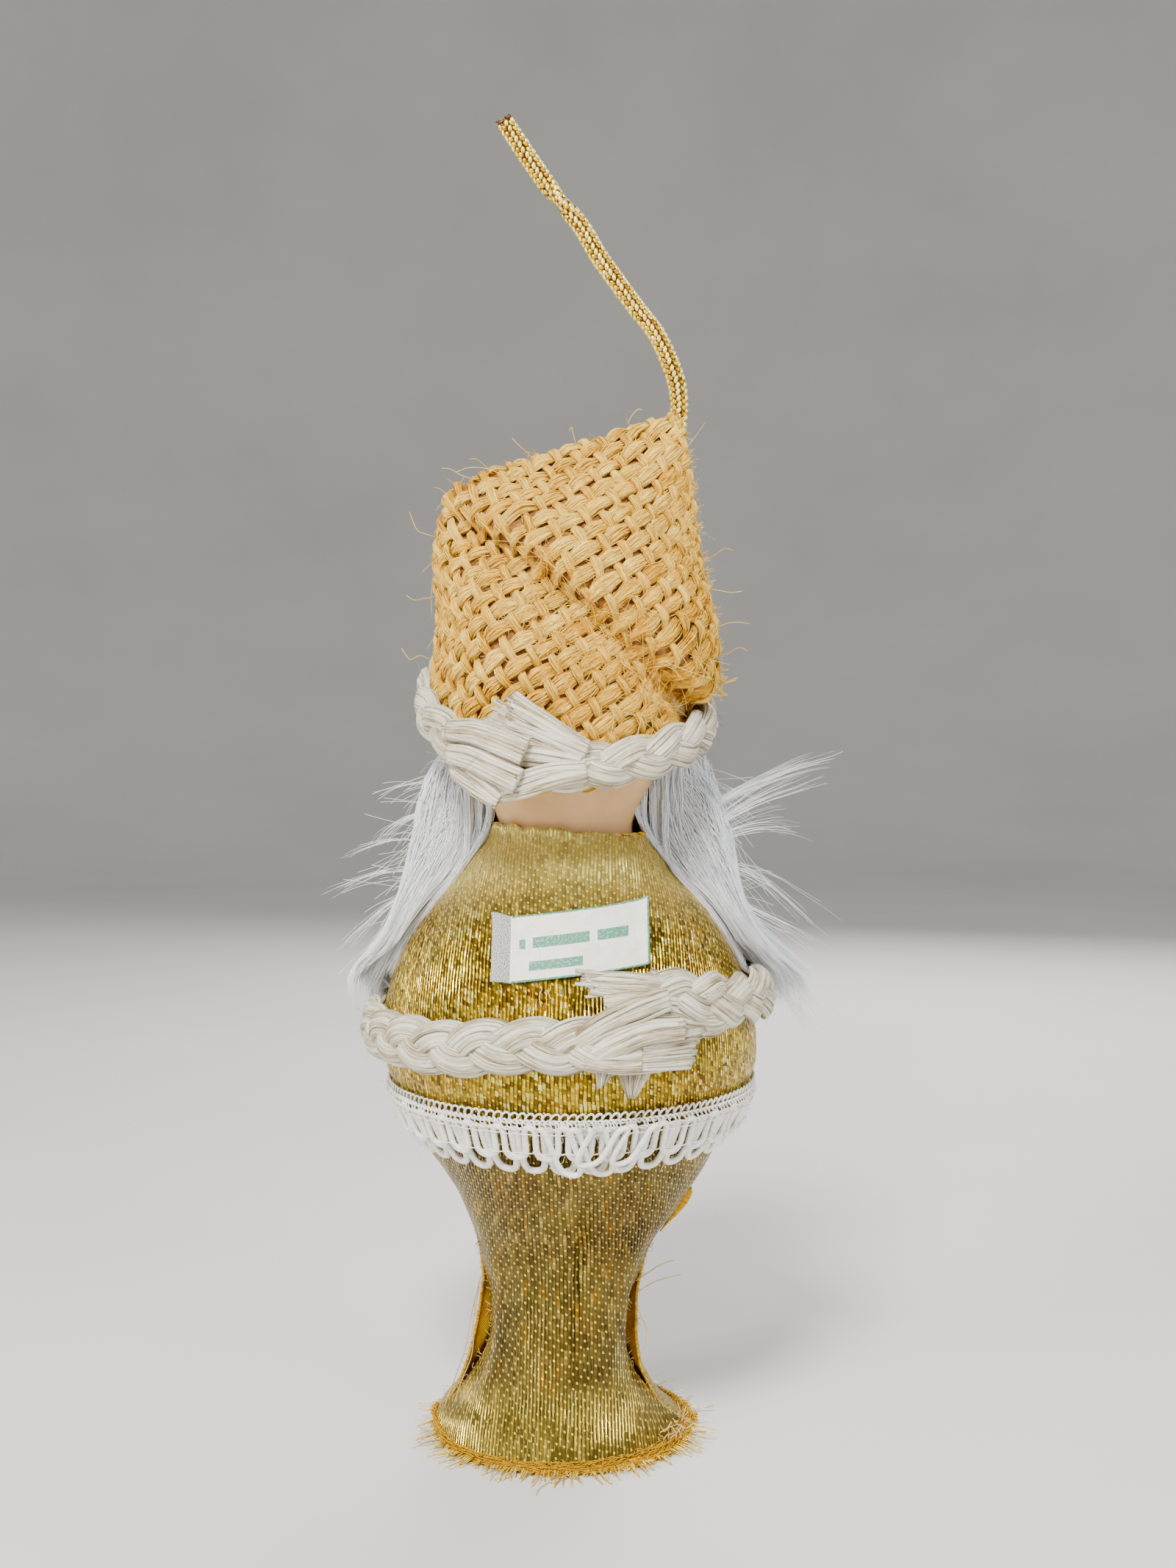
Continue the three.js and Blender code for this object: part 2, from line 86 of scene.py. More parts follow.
GIMP_LOW, GIMP_TOP, GIMP_REPEATS = 57.6, 70.3, 36
BAND_LINE = np.array([[-180, 154.6], [-150, 152.0], [-120, 146.4], [-90, 140.4], [-60, 136.6], [-40, 133.9], [-20, 132.1], [0, 131.2], [10, 131.2], [20, 131.9],
                      [35, 133.7], [52, 137.0], [70, 140.6], [90, 144.6], [114, 150.2], [140, 153.8], [165, 155.0], [180, 154.6]])
BELT_Z = np.array([[-390, 80.9], [-374, 81.9], [-350, 81.6], [-320, 80.0], [-270, 80.2], [-180, 82.6], [-120, 85.6], [-90, 86.8], [-60, 87.4], [-45, 88.4], [-30, 90.0], [-8, 92.8]])


def pchip(x, y):
    """Monotone cubic through the rows of y."""
    x = np.asarray(x, float)
    y = np.asarray(y, float)
    h = np.diff(x)
    d = np.diff(y) / h
    m = np.zeros_like(y)
    for k in range(1, len(x) - 1):
        if d[k - 1] * d[k] > 0:
            w1, w2 = 2 * h[k] + h[k - 1], h[k] + 2 * h[k - 1]
            m[k] = (w1 + w2) / (w1 / d[k - 1] + w2 / d[k])
    m[0], m[-1] = d[0], d[-1]

    def f(q):
        q = np.clip(np.asarray(q, float), x[0], x[-1])
        i = np.clip(np.searchsorted(x, q, side="right") - 1, 0, len(x) - 2)
        t = (q - x[i]) / h[i]
        t2, t3 = t * t, t * t * t
        return (2 * t3 - 3 * t2 + 1) * y[i] + (t3 - 2 * t2 + t) * h[i] * m[i] + (-2 * t3 + 3 * t2) * y[i + 1] + (t3 - t2) * h[i] * m[i + 1]
    return f


RL, RR = pchip(ROBE[:, 0], ROBE[:, 1]), pchip(ROBE[:, 0], ROBE[:, 2])
HXL, HXR, HDP = pchip(HAT[:, 0], HAT[:, 1]), pchip(HAT[:, 0], HAT[:, 2]), pchip(HAT[:, 0], HAT[:, 3])
BZ = pchip(BELT_Z[:, 0], BELT_Z[:, 1])
_bl = np.concatenate([BAND_LINE[:-1] - [360, 0], BAND_LINE, BAND_LINE[1:] + [360, 0]])
_bz = pchip(_bl[:, 0], _bl[:, 1])


def band_z(deg):
    """Height of the hat braid's middle, degrees from the back centre towards +X."""
    return _bz(deg)



def smooth(a, b, x):
    t = np.clip((np.asarray(x, float) - a) / (b - a), 0, 1)
    return t * t * (3 - 2 * t)


def rad(d):
    return np.asarray(d, float) * (math.pi / 180)


def robe_r(deg, z):
    l, r = RL(z), RR(z)
    return (l + r) / 2 + (l - r) / 2 * np.sin(rad(deg))


def unit(v):
    return v / np.maximum(np.linalg.norm(v, axis=-1, keepdims=True), 1e-12)


def robe_surf(deg, z, off=0.0):
    """A point of the robe's outside and its outward normal; deg from the back centre towards +X."""
    deg, z = np.broadcast_arrays(np.asarray(deg, float), np.asarray(z, float))
    r = robe_r(deg, z)
    dz = (robe_r(deg, z + 0.3) - robe_r(deg, z - 0.3)) / 0.6
    dp = (robe_r(deg + 0.5, z) - robe_r(deg - 0.5, z)) / rad(1.0)
    s, c = np.sin(rad(deg)), np.cos(rad(deg))
    n = unit(np.stack([s - dp / r * c, c + dp / r * s, -dz], -1))
    p = np.stack([r * s, r * c, z], -1) + n * np.asarray(off, float)[..., None]
    return p, n


def wave(x, seed, n=5, lo=0.5, hi=3.0):
    """A smooth repeatable wander of x, about -1 to 1."""
    g = np.random.default_rng(int(seed) + 5000)
    out = np.zeros_like(np.asarray(x, float))
    for _ in range(n):
        out = out + np.sin(x * g.uniform(lo, hi) + g.uniform(0, TAU)) * g.uniform(0.5, 1)
    return out / n * 1.4


# ------------------------------------------------------------------ mesh building
class Builder:
    """Collects vertices, faces, a shading vector per vertex and a material number per face."""

    def __init__(self):
        self.v, self.a, self.f, self.m, self.n = [], [], [], [], 0

    def add(self, verts, faces, attr=None, mat=0):
        verts = np.asarray(verts, float).reshape(-1, 3)
        if attr is None:
            attr = np.zeros((len(verts), 3))
        attr = np.broadcast_to(np.asarray(attr, float), (len(verts), 3))
        self.v.append(verts)
        self.a.append(attr)
        for f in faces if isinstance(faces, list) else [faces]:
            f = np.asarray(f, int)
            if len(f):
                self.f.append(f + self.n)
                self.m.append(np.broadcast_to(np.asarray(mat, int), (len(f),)))
        self.n += len(verts)

    def make(self, name, mats, body="root", replaces=(), flat=False):
        v = np.concatenate(self.v) * MM
        a = np.concatenate(self.a)
        me = bpy.data.meshes.new(name)
        me.vertices.add(len(v))
        me.vertices.foreach_set("co", v.astype(np.float32).ravel())
        loops = np.concatenate([f.ravel() for f in self.f])
        sizes = np.concatenate([np.full(len(f), f.shape[1]) for f in self.f])
        starts = np.concatenate([[0], np.cumsum(sizes)[:-1]])
        me.loops.add(len(loops))
        me.loops.foreach_set("vertex_index", loops.astype(np.int32))
        me.polygons.add(len(sizes))
        me.polygons.foreach_set("loop_start", starts.astype(np.int32))
        me.polygons.foreach_set("material_index", np.concatenate(self.m).astype(np.int32))
        me.update(calc_edges=True)
        me.validate()
        at = me.attributes.new("cuv", "FLOAT_VECTOR", "POINT")
        at.data.foreach_set("vector", a.astype(np.float32).ravel())
        for m in mats:
            me.materials.append(m)
        if not flat:
            me.polygons.foreach_set("use_smooth", np.ones(len(me.polygons), bool))
        ob = bpy.data.objects.new(name, me)
        bpy.context.scene.collection.objects.link(ob)
        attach(ob, body)
        if replaces:
            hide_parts(*replaces)
        return ob


def grid_faces(nu, nv, wrap=False, flip=False):
    i, j = np.meshgrid(np.arange(nu if wrap else nu - 1), np.arange(nv - 1), indexing="ij")
    i, j = i.ravel(), j.ravel()
    k = (i + 1) % nu
    q = np.stack([i * nv + j, k * nv + j, k * nv + j + 1, i * nv + j + 1], -1)
    return q[:, ::-1] if flip else q


def sweep(b, P, N, rw, rn, sides=8, prof=None, twist=0.0, rnd=0.0, cap=True, mat=0, power=1.0, u0=0.0, v_scale=1.0):
    """Tubes along K paths at once: P and N are (K, n, 3). rw is the half width across the surface, rn the half height."""
    P = np.asarray(P, float)
    if P.ndim == 2:
        P = P[None]
    N = np.broadcast_to(np.asarray(N, float), P.shape)
    K, n, _ = P.shape
    T = unit(np.gradient(P, axis=1))
    B = unit(np.cross(T, N))
    M = np.cross(B, T)
    ang = np.arange(sides) / sides * TAU
    ang = ang[None, None, :] + np.broadcast_to(np.asarray(twist, float), (K, n))[..., None]
    c, s = np.cos(ang), np.sin(ang)
    if power != 1.0:
        c, s = np.sign(c) * np.abs(c) ** power, np.sign(s) * np.abs(s) ** power
    rw = np.broadcast_to(np.asarray(rw, float), (K, n))[..., None]
    rn = np.broadcast_to(np.asarray(rn, float), (K, n))[..., None]
    k = 1.0 if prof is None else np.broadcast_to(np.asarray(prof, float), (K, n, sides))
    V = P[:, :, None, :] + B[:, :, None, :] * (c * rw * k)[..., None] + M[:, :, None, :] * (s * rn * k)[..., None]
    along = np.concatenate([np.zeros((K, 1)), np.cumsum(np.linalg.norm(np.diff(P, axis=1), axis=2), 1)], 1) + u0
    A = np.zeros((K, n, sides, 3))
    A[..., 0] = along[..., None]
    A[..., 1] = (np.arange(sides) / sides * v_scale)[None, None, :]
    A[..., 2] = np.broadcast_to(np.asarray(rnd, float).reshape(-1), (K,))[:, None, None]
    q = []
    for j in range(n - 1):
        r = np.arange(sides)
        t = (r + 1) % sides
        q.append(np.stack([j * sides + r, j * sides + t, (j + 1) * sides + t, (j + 1) * sides + r], -1))
    q = np.concatenate(q)
    base = (np.arange(K) * n * sides)[:, None, None]
    faces = [(q[None] + base).reshape(-1, 4)[:, ::-1]]
    if cap:
        c0 = np.arange(sides)[None] + (np.arange(K) * n * sides)[:, None]
        c1 = np.arange(sides)[None] + (np.arange(K) * n * sides + (n - 1) * sides)[:, None]
        faces += [c0, c1[:, ::-1]]
    b.add(V.reshape(-1, 3), faces, A.reshape(-1, 3), mat)


def resample(points, step):
    """A polyline through the points (Catmull-Rom), at an even step."""
    p = np.asarray(points, float)
    q = np.vstack([2 * p[0] - p[1], p, 2 * p[-1] - p[-2]])
    out = []
    for i in range(1, len(q) - 2):
        t = np.linspace(0, 1, 24, endpoint=False)[:, None]
        a, b, c, d = q[i - 1], q[i], q[i + 1], q[i + 2]
        out.append(0.5 * ((2 * b) + (-a + c) * t + (2 * a - 5 * b + 4 * c - d) * t ** 2 + (-a + 3 * b - 3 * c + d) * t ** 3))
    c = np.vstack(out + [p[-1:]])
    s = np.concatenate([[0], np.cumsum(np.linalg.norm(np.diff(c, axis=0), axis=1))])
    m = max(2, int(round(s[-1] / step)) + 1)
    t = np.linspace(0, s[-1], m)
    return np.stack([np.interp(t, s, c[:, k]) for k in range(3)], -1)


# ------------------------------------------------------------------ materials
class Mat:
    def __init__(self, name):
        self.m = bpy.data.materials.new(name)
        self.m.use_nodes = True
        self.t = self.m.node_tree
        self.t.nodes.clear()
        self.out = self.t.nodes.new("ShaderNodeOutputMaterial")
        self.b = self.t.nodes.new("ShaderNodeBsdfPrincipled")
        self.t.links.new(self.b.outputs[0], self.out.inputs[0])

    def put(self, socket, value):
        if isinstance(value, bpy.types.NodeSocket):
            self.t.links.new(value, socket)
        elif value is not None:
            socket.default_value = value

    def n(self, kind, **kw):
        x = self.t.nodes.new(kind)
        for k, v in kw.items():
            setattr(x, k, v)
        return x

    def math(self, op, a, b=None, c=None):
        x = self.n("ShaderNodeMath", operation=op)
        for i, v in enumerate((a, b, c)):
            if v is not None:
                self.put(x.inputs[i], v)
        return x.outputs[0]

    def cuv(self):
        a = self.n("ShaderNodeAttribute", attribute_name="cuv")
        s = self.n("ShaderNodeSeparateXYZ")
        self.t.links.new(a.outputs["Vector"], s.inputs[0])
        return s.outputs

    def xyz(self, x, y, z):
        c = self.n("ShaderNodeCombineXYZ")
        for i, v in enumerate((x, y, z)):
            self.put(c.inputs[i], v)
        return c.outputs[0]

    def obj(self):
        return self.n("ShaderNodeTexCoord").outputs["Object"]

    def noise(self, vec, scale, detail=3.0, rough=0.55, dist=0.0):
        x = self.n("ShaderNodeTexNoise")
        if vec is not None:
            self.put(x.inputs["Vector"], vec)
        x.inputs["Scale"].default_value = scale
        x.inputs["Detail"].default_value = detail
        x.inputs["Roughness"].default_value = rough
        x.inputs["Distortion"].default_value = dist
        return x.outputs[0]

    def white(self, vec):
        x = self.n("ShaderNodeTexWhiteNoise")
        self.put(x.inputs["Vector"], vec)
        return x.outputs[0]

    def ramp(self, fac, stops, mode="LINEAR"):
        x = self.n("ShaderNodeValToRGB")
        self.put(x.inputs[0], fac)
        e = x.color_ramp.elements
        while len(e) < len(stops):
            e.new(0.5)
        for k, (p, c) in enumerate(stops):
            e[k].position = p
            e[k].color = (*lin(c), 1)
        x.color_ramp.interpolation = mode
        return x.outputs[0]

    def mix(self, fac, a, b, blend="MIX"):
        x = self.n("ShaderNodeMix", data_type="RGBA", blend_type=blend)
        self.put(x.inputs[0], fac)
        for i, v in ((6, a), (7, b)):
            self.put(x.inputs[i], (*lin(v), 1) if isinstance(v, tuple) and len(v) == 3 else v)
        return x.outputs[2]

    def bump(self, height, dist, strength=1.0, normal=None):
        x = self.n("ShaderNodeBump")
        x.inputs["Strength"].default_value = strength
        x.inputs["Distance"].default_value = dist * MM
        self.put(x.inputs["Height"], height)
        if normal is not None:
            self.put(x.inputs["Normal"], normal)
        return x.outputs[0]

    def done(self, color=None, rough=0.8, metal=0.0, normal=None, sheen=0.0, spec=0.5, sss=0.0, sheen_rough=0.5, coat=0.0, aniso=0.0):
        b = self.b.inputs
        self.put(b["Base Color"], (*lin(color), 1) if isinstance(color, tuple) else color)
        self.put(b["Roughness"], rough)
        self.put(b["Metallic"], metal)
        self.put(b["Normal"], normal)
        b["Specular IOR Level"].default_value = spec
        if sheen:
            b["Sheen Weight"].default_value = sheen
            b["Sheen Roughness"].default_value = sheen_rough
        if sss:
            b["Subsurface Weight"].default_value = sss
            b["Subsurface Scale"].default_value = 0.002
            b["Subsurface Radius"].default_value = (1.0, 0.6, 0.4)
        if coat:
            b["Coat Weight"].default_value = coat
            b["Coat Roughness"].default_value = 0.25
        if aniso:
            b["Anisotropic"].default_value = aniso
        return self.m


def lin(c):
    """sRGB 0-255 to linear."""
    return tuple((x / 255 / 12.92) if x / 255 <= 0.04045 else ((x / 255 + 0.055) / 1.055) ** 2.4 for x in c[:3])


def fibre_mat(name, dark, mid, light, streak=34.0, along=0.35, rough=0.75, bump=0.08, sheen=0.15, spec=0.3, sss=0.0, vary=0.35, tone=0.22):
    """Yarn, raffia or cord: streaks run along the piece."""
    m = Mat(name)
    u, v, r = m.cuv()
    vec = m.xyz(m.math("MULTIPLY", u, along), m.math("MULTIPLY", v, streak), m.math("MULTIPLY", r, 37.0))
    s1 = m.noise(vec, 1.0, 4.0, 0.6)
    s2 = m.noise(m.obj(), 160.0, 2.0)
    f = m.math("ADD", m.math("MULTIPLY", s1, 0.75), m.math("MULTIPLY", s2, vary))
    f = m.math("ADD", f, m.math("MULTIPLY", m.math("SUBTRACT", r, 0.5), tone))
    col = m.ramp(f, [(0.30, dark), (0.52, mid), (0.78, light)])
    return m.done(col, rough, 0.0, m.bump(s1, bump), sheen=sheen, spec=spec, sss=sss)


burlap = fibre_mat("burlap_yarn", (118, 64, 2), (206, 146, 22), (252, 218, 108), streak=20, along=0.5, rough=0.8, bump=0.42, sheen=0.0, spec=0.12, vary=0.40)
burlap_fibre = fibre_mat("burlap_fibre", (196, 132, 20), (236, 188, 64), (253, 226, 128), streak=3, rough=0.7, bump=0.0, sheen=0.0, spec=0.2)
raffia = fibre_mat("raffia", (138, 112, 62), (240, 230, 202), (255, 253, 245), streak=16, along=0.20, rough=0.34, bump=0.50, sheen=0.0, spec=0.5, vary=0.25, tone=0.26)
satin = fibre_mat("satin_cord", (216, 206, 190), (240, 237, 229), (251, 250, 246), streak=3, along=3.2, rough=0.42, bump=0.05, sheen=0.2, spec=0.5, vary=0.25)
fur_mat = fibre_mat("fur", (216, 220, 225), (243, 245, 248), (253, 254, 254), streak=2, along=0.3, rough=0.5, bump=0.0, sheen=0.0, spec=0.4, vary=0.3)
straw = fibre_mat("loose_thread", (150, 118, 60), (202, 172, 106), (226, 204, 150), streak=3, rough=0.6, bump=0.0)


def lame_material():
    """Woven metallic cloth: flat gilt strips in close columns, crossing threads that catch the light as dots."""
    m = Mat("lame")
    u, v, r = m.cuv()
    w = m.noise(m.xyz(m.math("MULTIPLY", u, 0.16), m.math("MULTIPLY", v, 0.16), 0.0), 1.0, 2.0)
    uu = m.math("ADD", m.math("DIVIDE", u, 0.74), m.math("MULTIPLY", w, 0.9))
    col = m.math("FLOOR", uu)
    fx = m.math("SUBTRACT", uu, col)
    par = m.math("FLOORED_MODULO", col, 2.0)
    vv = m.math("ADD", m.math("DIVIDE", v, 2.7), m.math("MULTIPLY", par, 0.5))
    vv = m.math("ADD", vv, m.math("MULTIPLY", m.white(m.xyz(col, 3.0, 1.0)), 0.10))
    vv = m.math("ADD", vv, m.math("MULTIPLY", u, -0.135))
    row = m.math("FLOOR", vv)
    fy = m.math("SUBTRACT", vv, row)
    rnd = m.white(m.xyz(col, row, 5.0))
    rnd2 = m.white(m.xyz(col, row, 9.0))
    # distance from the middle of the strip and from the middle of the dot
    dx = m.math("ABSOLUTE", m.math("SUBTRACT", fx, 0.5))
    dy = m.math("ABSOLUTE", m.math("SUBTRACT", fy, 0.5))
    strip = m.math("SUBTRACT", 1.0, m.math("SMOOTH_MIN", m.math("MULTIPLY", dx, 2.3), 1.0, 0.1))
    strip = m.math("POWER", m.math("MAXIMUM", strip, 0.0), 0.6)
    e = m.math("ADD", m.math("POWER", m.math("DIVIDE", dx, 0.34), 2.0), m.math("POWER", m.math("DIVIDE", dy, 0.098), 2.0))
    dot = m.math("SUBTRACT", 1.0, m.math("MINIMUM", e, 1.0))
    dot = m.math("POWER", m.math("MAXIMUM", dot, 0.0), 0.5)
    # upper_painted_light_zone: 0 on the skirt, 1 above the gimp trim, by height on the cloth. Above the trim the
    # colours are lighter, painted light where the light falls on the upper body, and the brightest cells are painted
    # highlight dashes
    upper_painted_light_zone = m.math("SMOOTH_MIN", m.math("MAXIMUM", m.math("MULTIPLY", m.math("SUBTRACT", r, 62.0), 0.10), 0.0), 1.0, 0.05)
    base = m.ramp(rnd, [(0.0, (92, 78, 30)), (0.12, (112, 96, 42)), (0.42, (124, 108, 50)), (0.70, (138, 120, 56)), (0.90, (166, 144, 70)), (0.97, (150, 112, 26))], "CONSTANT")
    rnd3 = m.white(m.xyz(col, m.math("FLOOR", m.math("MULTIPLY", vv, 2.6)), 33.0))
    upper = m.ramp(rnd3, [(0.0, (112, 84, 8)), (0.10, (156, 126, 16)), (0.40, (190, 160, 32)), (0.66, (216, 190, 58)), (0.84, (252, 238, 140)), (0.96, (186, 136, 10))], "CONSTANT")
    c = m.mix(upper_painted_light_zone, base, upper)
    big = m.noise(m.xyz(m.math("MULTIPLY", u, 0.06), m.math("MULTIPLY", v, 0.05), 7.0), 1.0, 3.0)
    warm = m.ramp(big, [(0.44, (255, 255, 255)), (0.64, (255, 222, 150))])
    c = m.mix(0.55, c, warm, "MULTIPLY")
    # the grooves between strips get painted shade, deep in some places and light in others
    groove_painted_shade = m.ramp(m.noise(m.xyz(m.math("MULTIPLY", u, 0.11), m.math("MULTIPLY", v, 0.07), 17.0), 1.0, 3.0), [(0.38, (120, 90, 24)), (0.56, (34, 22, 4))])
    gapf = m.math("SUBTRACT", 1.0, m.math("MINIMUM", m.math("MULTIPLY", strip, 2.6), 1.0))
    brk = m.math("GREATER_THAN", m.white(m.xyz(col, m.math("FLOOR", m.math("MULTIPLY", vv, 2.0)), 21.0)), 0.30)
    c = m.mix(m.math("MULTIPLY", m.math("MULTIPLY", gapf, brk), 0.9), c, groove_painted_shade)
    # a short dark mark beside each dot, painted shade where the crossing thread dives
    ey = m.math("ABSOLUTE", m.math("SUBTRACT", dy, 0.22))
    ed = m.math("ADD", m.math("POWER", m.math("DIVIDE", dx, 0.42), 2.0), m.math("POWER", m.math("DIVIDE", ey, 0.075), 2.0))
    dive_painted_shade = m.math("MULTIPLY", m.math("LESS_THAN", ed, 1.0), m.math("GREATER_THAN", rnd2, 0.45))
    c = m.mix(m.math("MULTIPLY", dive_painted_shade, 0.45), c, (88, 62, 14))
    # brighter near the collar and on the flared foot, as painted light; the collar also loses some metal
    neck_painted_light = m.math("MINIMUM", m.math("MAXIMUM", m.math("MULTIPLY", m.math("SUBTRACT", r, 101.0), 0.085), 0.0), 1.0)
    foot = m.math("MINIMUM", m.math("MAXIMUM", m.math("MULTIPLY", m.math("SUBTRACT", 15.0, r), 0.10), 0.0), 1.0)
    c = m.mix(m.math("MULTIPLY", neck_painted_light, 0.56), c, (255, 238, 140))
    c = m.mix(m.math("MULTIPLY", foot, 0.24), c, (248, 216, 84))
    # the crossing threads' dots in bright yellow: partly their own colour, partly a painted highlight where they catch
    # the light
    dot = m.math("MINIMUM", m.math("MULTIPLY", dot, 1.6), 1.0)
    c = m.mix(dot, c, (250, 216, 30))
    h = m.math("ADD", m.math("MULTIPLY", strip, 0.7), m.math("MULTIPLY", dot, 0.7))
    h = m.math("ADD", h, m.math("MULTIPLY", m.math("MULTIPLY", m.math("SUBTRACT", rnd2, 0.5), m.math("SUBTRACT", fy, 0.5)), 1.5))
    rough = m.math("ADD", 0.17, m.math("MULTIPLY", rnd2, 0.24))
    metal = m.math("SUBTRACT", m.math("SUBTRACT", 0.92, m.math("MULTIPLY", dot, 0.70)), m.math("MULTIPLY", neck_painted_light, 0.20))
    return m.done(c, rough, metal, m.bump(h, 0.40), spec=0.5)


def backing_material(name="orange_backing"):
    m = Mat(name)
    u, v, r = m.cuv()
    a = m.math("SINE", m.math("MULTIPLY", u, TAU / 0.42))
    b2 = m.math("SINE", m.math("MULTIPLY", v, TAU / 0.42))
    w = m.math("MULTIPLY", a, b2)
    n = m.noise(m.obj(), 420.0, 3.0)
    c = m.ramp(n, [(0.3, (204, 128, 0)), (0.52, (240, 172, 0)), (0.75, (252, 208, 14))])
    return m.done(c, 0.65, 0.0, m.bump(w, 0.06), sheen=0.0, spec=0.2)


lame, orange = lame_material(), backing_material()


def edge_material():
    m = Mat("raw_edge")
    u, v, r = m.cuv()
    n = m.noise(m.xyz(m.math("MULTIPLY", u, 3.2), m.math("MULTIPLY", v, 1.2), 0.0), 1.0, 4.0)
    c = m.ramp(n, [(0.34, (156, 104, 0)), (0.5, (204, 150, 0)), (0.72, (238, 196, 8))])
    return m.done(c, 0.55, 0.0, m.bump(n, 0.12), spec=0.2)


raw_edge = edge_material()


def skin_material():
    m = Mat("painted_skin")
    g = m.obj()
    n = m.noise(g, 90.0, 4.0)
    s = m.n("ShaderNodeSeparateXYZ")
    m.put(s.inputs[0], g)
    x, y, z = s.outputs
    c = m.ramp(n, [(0.3, (192, 150, 100)), (0.55, (204, 162, 112)), (0.75, (214, 176, 128))])
    # rosy cheeks, at the same height on both sides of the nose
    ax = m.math("SUBTRACT", m.math("ABSOLUTE", x), 0.0118)
    az = m.math("SUBTRACT", z, 0.1408)
    d = m.math("ADD", m.math("POWER", m.math("DIVIDE", ax, 0.0052), 2.0), m.math("POWER", m.math("DIVIDE", az, 0.0042), 2.0))
    cheek = m.math("MULTIPLY", m.math("POWER", 2.718, m.math("MULTIPLY", d, -1.0)), m.math("GREATER_THAN", m.math("MULTIPLY", y, -1.0), 0.008))
    c = m.mix(m.math("MULTIPLY", cheek, 0.55), c, (226, 120, 104))
    fine = m.noise(g, 900.0, 2.0)
    return m.done(c, 0.55, 0.0, m.bump(fine, 0.02), spec=0.35, sss=0.12)


skin = skin_material()


def simple(name, dark, mid, light, scale, rough, bump=0.05, metal=0.0, sheen=0.0, stretch=(1, 1, 1), spec=0.4):
    m = Mat(name)
    s = m.n("ShaderNodeMapping")
    m.put(s.inputs["Vector"], m.obj())
    s.inputs["Scale"].default_value = stretch
    n = m.noise(s.outputs[0], scale, 5.0, 0.6)
    return m.done(m.ramp(n, [(0.3, dark), (0.5, mid), (0.72, light)]), rough, metal, m.bump(n, bump), sheen=sheen, spec=spec)


# dark brown for the sheet under the hat's weave: painted shade in the holes
hole_shade_cloth = simple("burlap_hole_shade", (84, 50, 18), (128, 82, 34), (176, 122, 58), 900, 0.95, 0.1)
knit = simple("fur_backing", (186, 170, 124), (206, 192, 152), (224, 214, 184), 700, 0.85, 0.08, sheen=0.2)
under_fur = simple("fur_root", (182, 190, 200), (220, 225, 232), (240, 243, 247), 500, 0.8, 0.25, sheen=0.3, stretch=(1, 1, 0.25))
card = simple("card_disc", (104, 82, 54), (128, 102, 70), (150, 124, 90), 300, 0.9)
wood = simple("post_wood", (150, 112, 70), (178, 138, 90), (200, 164, 116), 60, 0.7, 0.05, stretch=(6, 6, 0.6))
foam = simple("foam_core", (214, 210, 198), (230, 226, 216), (242, 240, 232), 600, 0.9, 0.15)
bead = simple("bead_eye", (8, 8, 10), (12, 12, 14), (20, 18, 18), 200, 0.12, 0.0, spec=0.8)
glue = simple("glue", (120, 78, 36), (168, 120, 66), (200, 160, 104), 1500, 0.3, 0.1, spec=0.6)
strip = simple("gilt_strip", (166, 122, 6), (240, 202, 60), (255, 246, 160), 700, 0.32, 0.0, metal=0.45)
blue_dot = simple("blue_dot", (24, 34, 70), (34, 46, 92), (50, 64, 120), 900, 0.5, 0.0)
for node, mt in (("base_disc", card), ("leg_post", wood), ("body_core", foam)):
    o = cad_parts[node]
    for k in range(len(o.material_slots)):
        o.material_slots[k].material = mt

# ------------------------------------------------------------------ hanging cord (a flat metallic braid)
CORD_PATH = [(-20.4, -9.9, 188.2), (-21.2, -7.4, 192.0), (-21.9, -5.2, 196.4), (-22.4, -4.0, 201.3), (-22.0, -3.0, 206.3), (-20.2, -2.0, 211.4),
             (-17.6, -1.2, 216.4), (-13.6, -0.6, 221.4), (-9.8, -0.2, 226.4), (-6.2, 0, 231.4), (-3.2, 0, 236.5), (0.3, 0, 240.9), (3.7, 0, 245.0), (7.9, 0, 251.0), (12.0, 0, 257.2)]


def gold_material():
    m = Mat("gilt_thread")
    u, v, r = m.cuv()
    # each stitch is bright along its middle, a painted highlight, and dark orange where it dives, painted shade
    e = m.math("SINE", m.math("MULTIPLY", m.math("MINIMUM", m.math("DIVIDE", u, 1.75), 1.0), math.pi))
    n = m.noise(m.xyz(m.math("MULTIPLY", u, 0.8), m.math("MULTIPLY", v, 9.0), m.math("MULTIPLY", r, 31.0)), 1.0, 3.0)
    f = m.math("ADD", m.math("MULTIPLY", n, 0.32), m.math("MULTIPLY", e, 0.46))
    f = m.math("ADD", f, m.math("MULTIPLY", m.math("SUBTRACT", r, 0.5), 0.26))
    c = m.ramp(f, [(0.30, (84, 46, 0)), (0.42, (166, 112, 0)), (0.55, (232, 196, 44)), (0.68, (255, 248, 160))])
    return m.done(c, 0.30, 0.7, m.bump(n, 0.10), spec=0.6)


gilt = gold_material()


